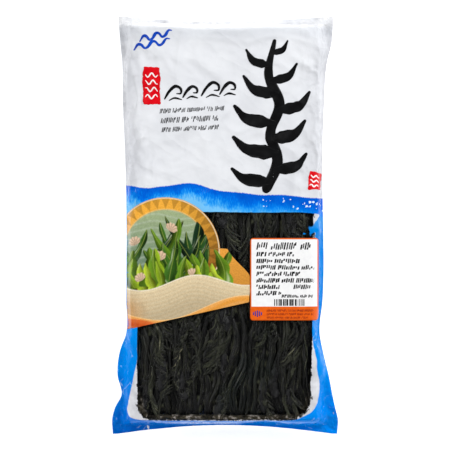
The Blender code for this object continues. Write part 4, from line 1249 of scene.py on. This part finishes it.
def pictureSides(y):
    # left and right edge of the picture at y: the sun's circle above, a long swell and a rising base below
    cx, cy = picture["sun"]
    chord = np.sqrt(np.clip(picture["sunRadius"] ** 2 - (y - cy) ** 2, 0, None))
    fold = -sideFold(y, -1) + 0.5
    left = np.where(y > cy, np.maximum(cx - chord, fold), fold)
    near, far = picture["swellRight"]
    swell = near + (far - near) * eased((picture["swellTop"] - y) / picture["swellReach"])
    swell = swell - 1.6 * np.sin(y / 7.0)
    right = np.where(y > picture["waist"], cx + chord, np.maximum(swell, cx + chord))
    base = picture["baseRight"] - (picture["baseTop"] - y) * picture["baseSlope"]
    right = np.where(y < picture["baseTop"], np.minimum(right, base), right)
    return left, np.maximum(right, left + 0.3)


def swellLine(x, level, height, crest, length, tilt, pivot):
    # level + height cos((x - crest) / length) + tilt (x - pivot)
    return level + height * np.cos((x - crest) / length) + tilt * (x - pivot)


def blend(colour, mask, over):
    # colour (1 - mask) + over mask
    mask = np.clip(mask, 0, 1)[..., None]
    return colour * (1 - mask) + over * mask


def paintLeaf(colour, x, y, draw, layer):
    # one seaweed blade: a bent axis, half width w sqrt(1 - v) with lobed edges, a pale rib and a lit side
    cx, cy = picture["sun"]
    rootX = draw.uniform(*picture["leafRootX"])
    atBack, change = picture["leafRootY"]
    rootY = atBack + change * layer + draw.uniform(-5, 5)
    atBack, change = picture["leafHeight"]
    tall = (atBack + change * layer) * draw.uniform(*picture["leafShares"]) * (1 - 0.006 * abs(rootX + 62))
    v = (y - rootY) / tall
    phase = draw.uniform(0, 6.28)
    bend, lean = draw.uniform(*picture["leafBend"]), draw.uniform(*picture["leafLean"])
    middle = rootX + bend * np.sin(2.4 * v + phase) + lean * (y - rootY)
    lobes = 0.62 + 0.38 * np.abs(np.sin(v * draw.uniform(5, 8) + phase))
    half = draw.uniform(*picture["leafHalf"]) * np.sqrt(np.clip(1 - v, 0, 1)) * lobes
    side = np.clip((x - middle) / np.maximum(half, 0.5), -1, 1)
    litSide = 1 if draw.uniform() < 0.5 else -1
    shade = linear(picture["leafGreens"][min(int(layer * 4 + draw.uniform(0, 2.4)), 5)])
    tone = shade * (1.0 + 0.75 * np.clip(side * litSide, -0.7, 1) + 0.25 * np.sin(7 * v + phase))[..., None]
    gleam = np.exp(-((side * litSide - 0.45) / picture["gleamWidth"]) ** 2)
    gleam = gleam * np.clip(np.sin(4.5 * v + phase), 0, 1) ** 3
    tone = blend(tone, 0.55 * gleam, linear("#e3ecc0"))
    soft = picture["softEdge"]
    tone = blend(tone, (1 - np.abs(x - middle) / soft) * 0.5, linear("#b4c25a"))
    mask = np.where((v > 0) & (v < 1), (half - np.abs(x - middle)) / soft, 0)
    away = np.hypot(x - cx, y - cy)
    inSun = np.clip((picture["waterRadius"] + 1.5 - away) / 1.5, 0, 1) if layer < 0.35 else 1.0
    return blend(colour, mask * inSun, tone)


def paintPicture(x, y):
    # painter's order from back to front, each layer a soft-edged mask worked out from x and y
    cx, cy = picture["sun"]
    inner, outer = picture["waterRadius"], picture["sunRadius"]
    away = np.hypot(x - cx, y - cy)
    around = np.arctan2(y - cy, x - cx)
    evening = linear("#f4a845") * (1.0 - 0.006 * np.clip(-20 - y, 0, 60))[..., None]
    colour = np.broadcast_to(evening, x.shape + (3,))

    lit = (0.5 + 0.5 * np.cos(around - 2.0))[..., None]
    ring = linear("#e8a73c") * lit + linear("#6f4319") * (1 - lit)
    pointed = np.abs((around * picture["rays"] / (2 * math.pi)) % 1 - 0.5) * 2
    ray = eased((pointed - (away - inner) / (outer - inner)) * 4 + 0.5)
    ring = ring * (0.80 + 0.42 * ray)[..., None]
    colour = blend(colour, outer - away, ring)
    colour = blend(colour, 1 - np.abs(away - outer + 0.9) / 0.8, linear("#f6e6c4"))
    colour = blend(colour, 0.7 * (1 - np.abs(away - inner) / 0.8), linear("#f3cf86"))

    depth = np.clip((y - cy + inner) / (2 * inner), 0, 1)[..., None]
    water = linear("#3f6a66") * (1 - depth) + linear("#a9b98c") * depth
    glint = 0.5 + 0.5 * np.sin(y * 0.9 + 2.2 * np.sin(x / 9.0))
    water = blend(water, 0.22 * glint**4, linear("#dfe9d8"))
    colour = blend(colour, inner - away, water)

    draw = np.random.default_rng(5)
    shellAfter = picture["shellAfter"]
    for number in range(picture["leaves"]):
        colour = paintLeaf(colour, x, y, draw, number / (picture["leaves"] - 1))
        if number in shellAfter:
            colour = paintShell(colour, x, y, *picture["shells"][shellAfter.index(number)])

    below = swellLine(x, *picture["dune"]) - y
    tone = linear("#f0dcb4") * (1 - 0.011 * np.clip(below, 0, 30))[..., None]
    gold = eased((-72 - x) / 34) * eased(below / 22)
    tone = blend(tone, 0.75 * gold, linear("#cf8a2c"))
    tone = blend(tone, 0.16 * (0.5 + 0.5 * np.sin(below * 1.5 + 1.2 * np.sin(x / 7.0))), linear("#b98a4e"))
    colour = blend(colour, below / picture["softEdge"], tone)
    colour = blend(colour, 1 - np.abs(below - 0.8) / 0.8, linear("#fff6e2"))

    for fill, crest, line in picture["waves"]:
        below = swellLine(x, *line) - y
        tone = linear(fill) * (1.05 - 0.02 * np.clip(below, 0, 18))[..., None]
        tone = blend(tone, 0.2 * (0.5 + 0.5 * np.sin(below * 0.9 + np.sin(x / 11.0))), linear(crest))
        colour = blend(colour, below / picture["softEdge"], tone)
        colour = blend(colour, 1 - np.abs(below - 0.6) / 0.7, linear(crest))
    return np.clip(colour, 0, 1)


def paintShell(colour, x, y, atX, atY, radius, aim):
    # a scallop: a fan of radius r (1 + 0.05 cos 13a) round its hinge, ribbed by cos 15a
    reach = np.hypot(x - atX, y - atY)
    angle = np.abs((np.arctan2(y - atY, x - atX) - aim + math.pi) % (2 * math.pi) - math.pi)
    rim = radius * (1 + 0.05 * np.cos(angle * 13)) * np.sqrt(np.clip(1 - (angle / 1.5) ** 4, 0, 1))
    tone = linear("#f1cfae") * (0.82 + 0.18 * np.cos(angle * 15))[..., None]
    tone = tone * (0.74 + 0.32 * np.clip(reach / radius, 0, 1))[..., None]
    return blend(colour, (rim - reach) / picture["softEdge"], tone)


def makePicture():
    # rows from edge to edge of the picture, with a colour painted at each point
    y = np.arange(picture["bottom"], picture["top"], picture["step"])
    left, right = pictureSides(y)
    count = int(np.ceil((right - left).max() / picture["step"]))
    x = left[:, None] + (right - left)[:, None] * np.linspace(0, 1, count)[None, :]
    y = np.broadcast_to(y[:, None], x.shape)
    grid = drape(x, y, picture["lift"])
    colour = np.concatenate([paintPicture(x, y), np.ones(x.shape + (1,))], axis=-1)
    points = grid.reshape(-1, 3)
    faces = facing(points, gridFaces(*x.shape))
    piece = putMesh("front_picture", points, [faces], {"inkColour": colour.reshape(-1, 4)})
    return addWall(piece, ink["wall"], 1.0)


def pictureMaterial():
    # gravure inks under gloss film: the painted colours with a faint screen grain
    made, tree, shader = newMaterial("gravure printed picture", 0.3, IOR=1.5, **{"Specular IOR Level": 0.08})
    place = addNode(tree, "TexCoord", out="Object")
    paint = addNode(tree, "Attribute", out="Color", attribute_name="inkColour")
    grain = addNode(tree, "TexNoise", {"Vector": place, "Scale": 700.0, "Detail": 2.0})
    grain = addNode(tree, "ValToRGB", {0: grain}, stops=[(0.3, "#e6e6e6"), (0.7, "#ffffff")])
    colour = addNode(tree, "Mix", {0: 1.0, 6: paint, 7: grain}, out=2,
                     data_type="RGBA", blend_type="MULTIPLY")
    tree.links.new(colour, shader.inputs["Base Color"])
    return made


def inkMaterial(name, dark, light, roughness=0.35):
    # printed ink under the film: one colour, a little uneven where the solid ink lies thin
    made, tree, shader = newMaterial(name, roughness, IOR=1.5, **{"Specular IOR Level": 0.1})
    place = addNode(tree, "TexCoord", out="Object")
    cloud = addNode(tree, "TexNoise", {"Vector": place, "Scale": 90.0, "Detail": 5.0})
    tree.links.new(addNode(tree, "ValToRGB", {0: cloud}, stops=[(0.35, dark), (0.75, light)]),
                   shader.inputs["Base Color"])
    return made


# The paper label
label = {
    "left": 25.4, "right": 94.6, "top": -13.2, "bottom": -96.4, "lift": 0.9, "thickness": 0.25,
    "inkGap": 0.06, "cornerCut": 0.9, "cornerShare": 0.03, "rim": 1.3, "bandHeight": 14.0, "printBlur": 0.2,
    # rows of ticks: (x of the left end, x of the right end, y of the foot, height, weight of a tick)
    "rows": [
        (31.5, 87.0, -24.8, 7.2, 0.18), (31.5, 71.0, -31.7, 4.5, 0.29), (31.5, 77.0, -38.6, 4.5, 0.29),
        (31.5, 91.5, -45.0, 4.5, 0.29), (31.5, 77.0, -51.6, 4.5, 0.29), (31.5, 91.0, -58.2, 4.5, 0.29),
        (31.5, 56.0, -64.7, 4.5, 0.29), (69.0, 87.5, -64.7, 4.5, 0.29), (31.5, 57.0, -71.1, 4.5, 0.29),
        (57.0, 88.5, -73.4, 3.2, 0.28),
    ],
    # plain bars: left, right, foot and top of the block, number, widths, and how much wider the dark are
    "codeBars": (49.7, 81.4, -81.6, -74.9), "barCount": 17, "barWidths": [0.5, 0.9, 1.6], "darkShare": 1.4,
    # the small mark on the foot: place of its left end and middle, step, width and heights of its bars
    "mark": (28.2, -89.6, 2.0, 1.15, (3.0, 5.0, 6.6, 5.0, 3.0)),
    "footRows": [(42.0, 92.0, -87.6, 2.4, 0.2), (42.0, 92.0, -91.2, 2.4, 0.2), (42.0, 84.0, -94.6, 2.2, 0.2)],
}
onLabel = label["lift"] + label["thickness"] + label["inkGap"]


def makeLabel():
    # a sheet over the front, clear of the film's creases, with its corners cut a little round
    u, v = np.meshgrid(np.linspace(0, 1, 44), np.linspace(0, 1, 52))
    x = label["left"] + (label["right"] - label["left"]) * u
    y = label["bottom"] + (label["top"] - label["bottom"]) * v
    fromCorner = np.minimum(u, 1 - u) + np.minimum(v, 1 - v)
    pull = label["cornerCut"] * np.clip(1 - fromCorner / label["cornerShare"], 0, 1)
    x = x + pull * np.sign(0.5 - u)
    y = y + pull * np.sign(0.5 - v)
    points, faces = joined([drape(x, y, label["lift"], 0.0)])
    rimGap = np.minimum(np.minimum(x - label["left"], label["right"] - x),
                        np.minimum(y - label["bottom"], label["top"] - y))
    values = {"rimGap": rimGap.ravel(), "labelUp": (y - label["bottom"]).ravel()}
    return addWall(putMesh("paper_label", points, [faces], values), label["thickness"], 1.0)


def makeLabelInk():
    # rows of ticks where a label has its print, and plain bars that encode nothing
    draw = np.random.default_rng(77)
    bars = []
    for x0, x1, y0, tall, weight in label["rows"]:
        bars += tickRow(draw, x0, x1, y0, tall, 0.0, weight)
    x0, x1, y0, y1 = label["codeBars"]
    widths = draw.choice(label["barWidths"], 2 * label["barCount"])
    widths[::2] *= label["darkShare"]
    edges = x0 + (x1 - x0) * np.concatenate([[0.0], np.cumsum(widths)]) / widths.sum()
    for left, right in zip(edges[:-1:2], edges[1::2]):
        bars.append((left, y0, right, y1, 0.0, 0.0))
    return barPiece("label_ink", bars, onLabel, 0.0)


def makeFootInk():
    # smaller ticks in a darker red on the orange foot of the label
    draw = np.random.default_rng(78)
    bars = []
    for x0, x1, y0, tall, weight in label["footRows"]:
        bars += tickRow(draw, x0, x1, y0, tall, 0.0, weight)
    return barPiece("label_foot_ink", bars, onLabel, 0.0)


def makeLabelMark():
    # five upright bars of rising and falling height
    x0, middle, step, width, heights = label["mark"]
    bars = [(x0 + step * n, middle - tall / 2, x0 + step * n + width, middle + tall / 2, 0.0, 0.0)
            for n, tall in enumerate(heights)]
    return barPiece("label_mark", bars, onLabel, 0.0)


def paperMaterial():
    # coated label paper, bright with a faint fibre cloud, printed orange along its rim and its foot
    made, tree, shader = newMaterial("coated label paper", 0.45, IOR=1.5, **{"Specular IOR Level": 0.12})
    place = addNode(tree, "TexCoord", out="Object")
    rimGap = addNode(tree, "Attribute", out="Fac", attribute_name="rimGap")
    up = addNode(tree, "Attribute", out="Fac", attribute_name="labelUp")
    fibre = addNode(tree, "TexNoise", {"Vector": place, "Scale": 300.0, "Detail": 4.0})
    paper = addNode(tree, "ValToRGB", {0: fibre}, stops=[(0.3, "#f0f0f1"), (0.7, "#f8f8f8")])
    blur = label["printBlur"]
    isRim = addNode(tree, "MapRange", {"Value": rimGap, "From Min": label["rim"] + blur,
                                       "From Max": label["rim"] - blur})
    isBand = addNode(tree, "MapRange", {"Value": up, "From Min": label["bandHeight"] + blur,
                                        "From Max": label["bandHeight"] - blur})
    printed = addNode(tree, "Math", {0: isRim, 1: isBand}, operation="MAXIMUM")
    orange = addNode(tree, "ValToRGB", {0: fibre}, stops=[(0.3, "#de5806"), (0.7, "#ec6610")])
    colour = addNode(tree, "Mix", {0: printed, 6: paper, 7: orange}, out=2, data_type="RGBA")
    tree.links.new(colour, shader.inputs["Base Color"])
    bump = addNode(tree, "Bump", {"Height": fibre, "Strength": 0.15, "Distance": 0.0001})
    tree.links.new(bump, shader.inputs["Normal"])
    return made


# A white lit table, a soft world, four softboxes and a camera straight above
studio = {
    "floorColour": "#fcfcfd", "floorGlow": 0.45, "floorHalf": 1500.0, "floorLevel": -0.3,
    "worldColour": "#ffffff", "worldStrength": 0.26,
    # camera height, width that the view shows at the focus height, sensor width and far limit in metres
    "cameraHeight": 3200.0, "viewWidth": 456.75, "focusHeight": 30.0, "sensor": 36.0, "clipEnd": 20.0,
    # name, place in metres, side in metres, watts
    "softboxes": [
        ("upper right softbox", (1.35, 1.05, 1.08), 0.45, 24.5),
        ("left softbox", (-1.6, 0.3, 1.02), 0.5, 12.5),
        ("top softbox", (-0.2, 1.0, 1.8), 0.9, 6.5),
        ("low softbox", (-0.1, -1.3, 1.5), 0.9, 9.5),
    ],
}


def makeStudio():
    # floor, world, lights aimed at the pack, and a camera whose lens is sensor x distance / width seen
    half = studio["floorHalf"]
    u, v = np.meshgrid(np.linspace(-half, half, 3), np.linspace(-half, half, 3))
    points = np.stack([u, v, np.full(u.shape, studio["floorLevel"])], axis=-1).reshape(-1, 3)
    floor = putMesh("floor", points, [facing(points, gridFaces(3, 3))])
    # matt white paint, with a little glow of its own as on a lit table, which lifts the shadows
    made, _, shader = newMaterial("painted studio floor", 0.9)
    shader.inputs["Base Color"].default_value = (*linear(studio["floorColour"]), 1.0)
    shader.inputs["Emission Color"].default_value = (1.0, 1.0, 1.0, 1.0)
    shader.inputs["Emission Strength"].default_value = studio["floorGlow"]
    floor.data.materials.append(made)

    world = bpy.data.worlds.new("soft studio")
    world.use_nodes = True
    world.node_tree.nodes["Background"].inputs[0].default_value = (*linear(studio["worldColour"]), 1.0)
    world.node_tree.nodes["Background"].inputs[1].default_value = studio["worldStrength"]
    bpy.context.scene.world = world
    for name, place, size, power in studio["softboxes"]:
        lamp = bpy.data.lights.new(name, "AREA")
        lamp.size = size
        lamp.energy = power
        holder = bpy.data.objects.new(name, lamp)
        bpy.context.scene.collection.objects.link(holder)
        holder.location = place
        aim = -np.array(place) / np.linalg.norm(place)
        pitch = math.acos(-aim[2])
        holder.rotation_euler = (pitch, 0.0, math.atan2(aim[1], aim[0]) - math.pi / 2)

    camera = bpy.data.cameras.new("camera")
    camera.sensor_width = studio["sensor"]
    distance = studio["cameraHeight"] - studio["focusHeight"]
    camera.lens = studio["sensor"] * distance / studio["viewWidth"]
    camera.clip_end = studio["clipEnd"]
    holder = bpy.data.objects.new("camera", camera)
    holder.location = (0.0, 0.0, studio["cameraHeight"] * 0.001)
    bpy.context.scene.collection.objects.link(holder)
    bpy.context.scene.camera = holder
    bpy.context.scene.view_settings.view_transform = "Standard"
    bpy.context.scene.view_settings.look = "None"


def dress(piece, finish, slot, *nodes):
    # puts a finish on a piece, ties it to the body and hides the solids that it stands for; the slot is not
    # used
    piece.data.materials.append(finish)
    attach(piece, "root")
    if nodes:
        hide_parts(*nodes)
    return piece


makeStudio()
print("studio, camera and lights")
dress(makeFilm(), filmMaterial(), "printed_film", "film_bag")
print("printed film")
wakame = wakameMaterial()
for frondIndex in range(slab["fronds"]):
    dress(makeFrond(frondIndex), wakame, "dried_wakame", f"frond_{frondIndex + 1}")
    print("frond", frondIndex + 1)
blackInk = inkMaterial("black gravure ink", "#060607", "#121315")
dress(makeSprig(), blackInk, "printed_film")
dress(makeInkWaves(), blackInk, "printed_film")
dress(makeInkText(), inkMaterial("grey black gravure ink", "#141518", "#26282c"), "printed_film")
dress(makeBlueMark(), inkMaterial("blue gravure ink", "#0038a8", "#0f4fc4"), "printed_film")
dress(makeSeals(), inkMaterial("red gravure ink", "#d00010", "#e6081a"), "printed_film")
dress(makeSealFigures(), inkMaterial("white gravure ink", "#f4e8e8", "#ffffff"), "printed_film")
dress(makePicture(), pictureMaterial(), "printed_film")
print("prints on the film")
dress(makeLabel(), paperMaterial(), "label_paper", "sticker")
dress(makeLabelInk(), inkMaterial("black label ink", "#050506", "#101012", 0.5), "label_paper")
dress(makeFootInk(), inkMaterial("brick red label ink", "#9c2f10", "#b03a16", 0.5), "label_paper")
dress(makeLabelMark(), inkMaterial("violet label ink", "#3f3690", "#4c43a4", 0.5), "label_paper")
print("paper label")

bpy.context.view_layer.update()
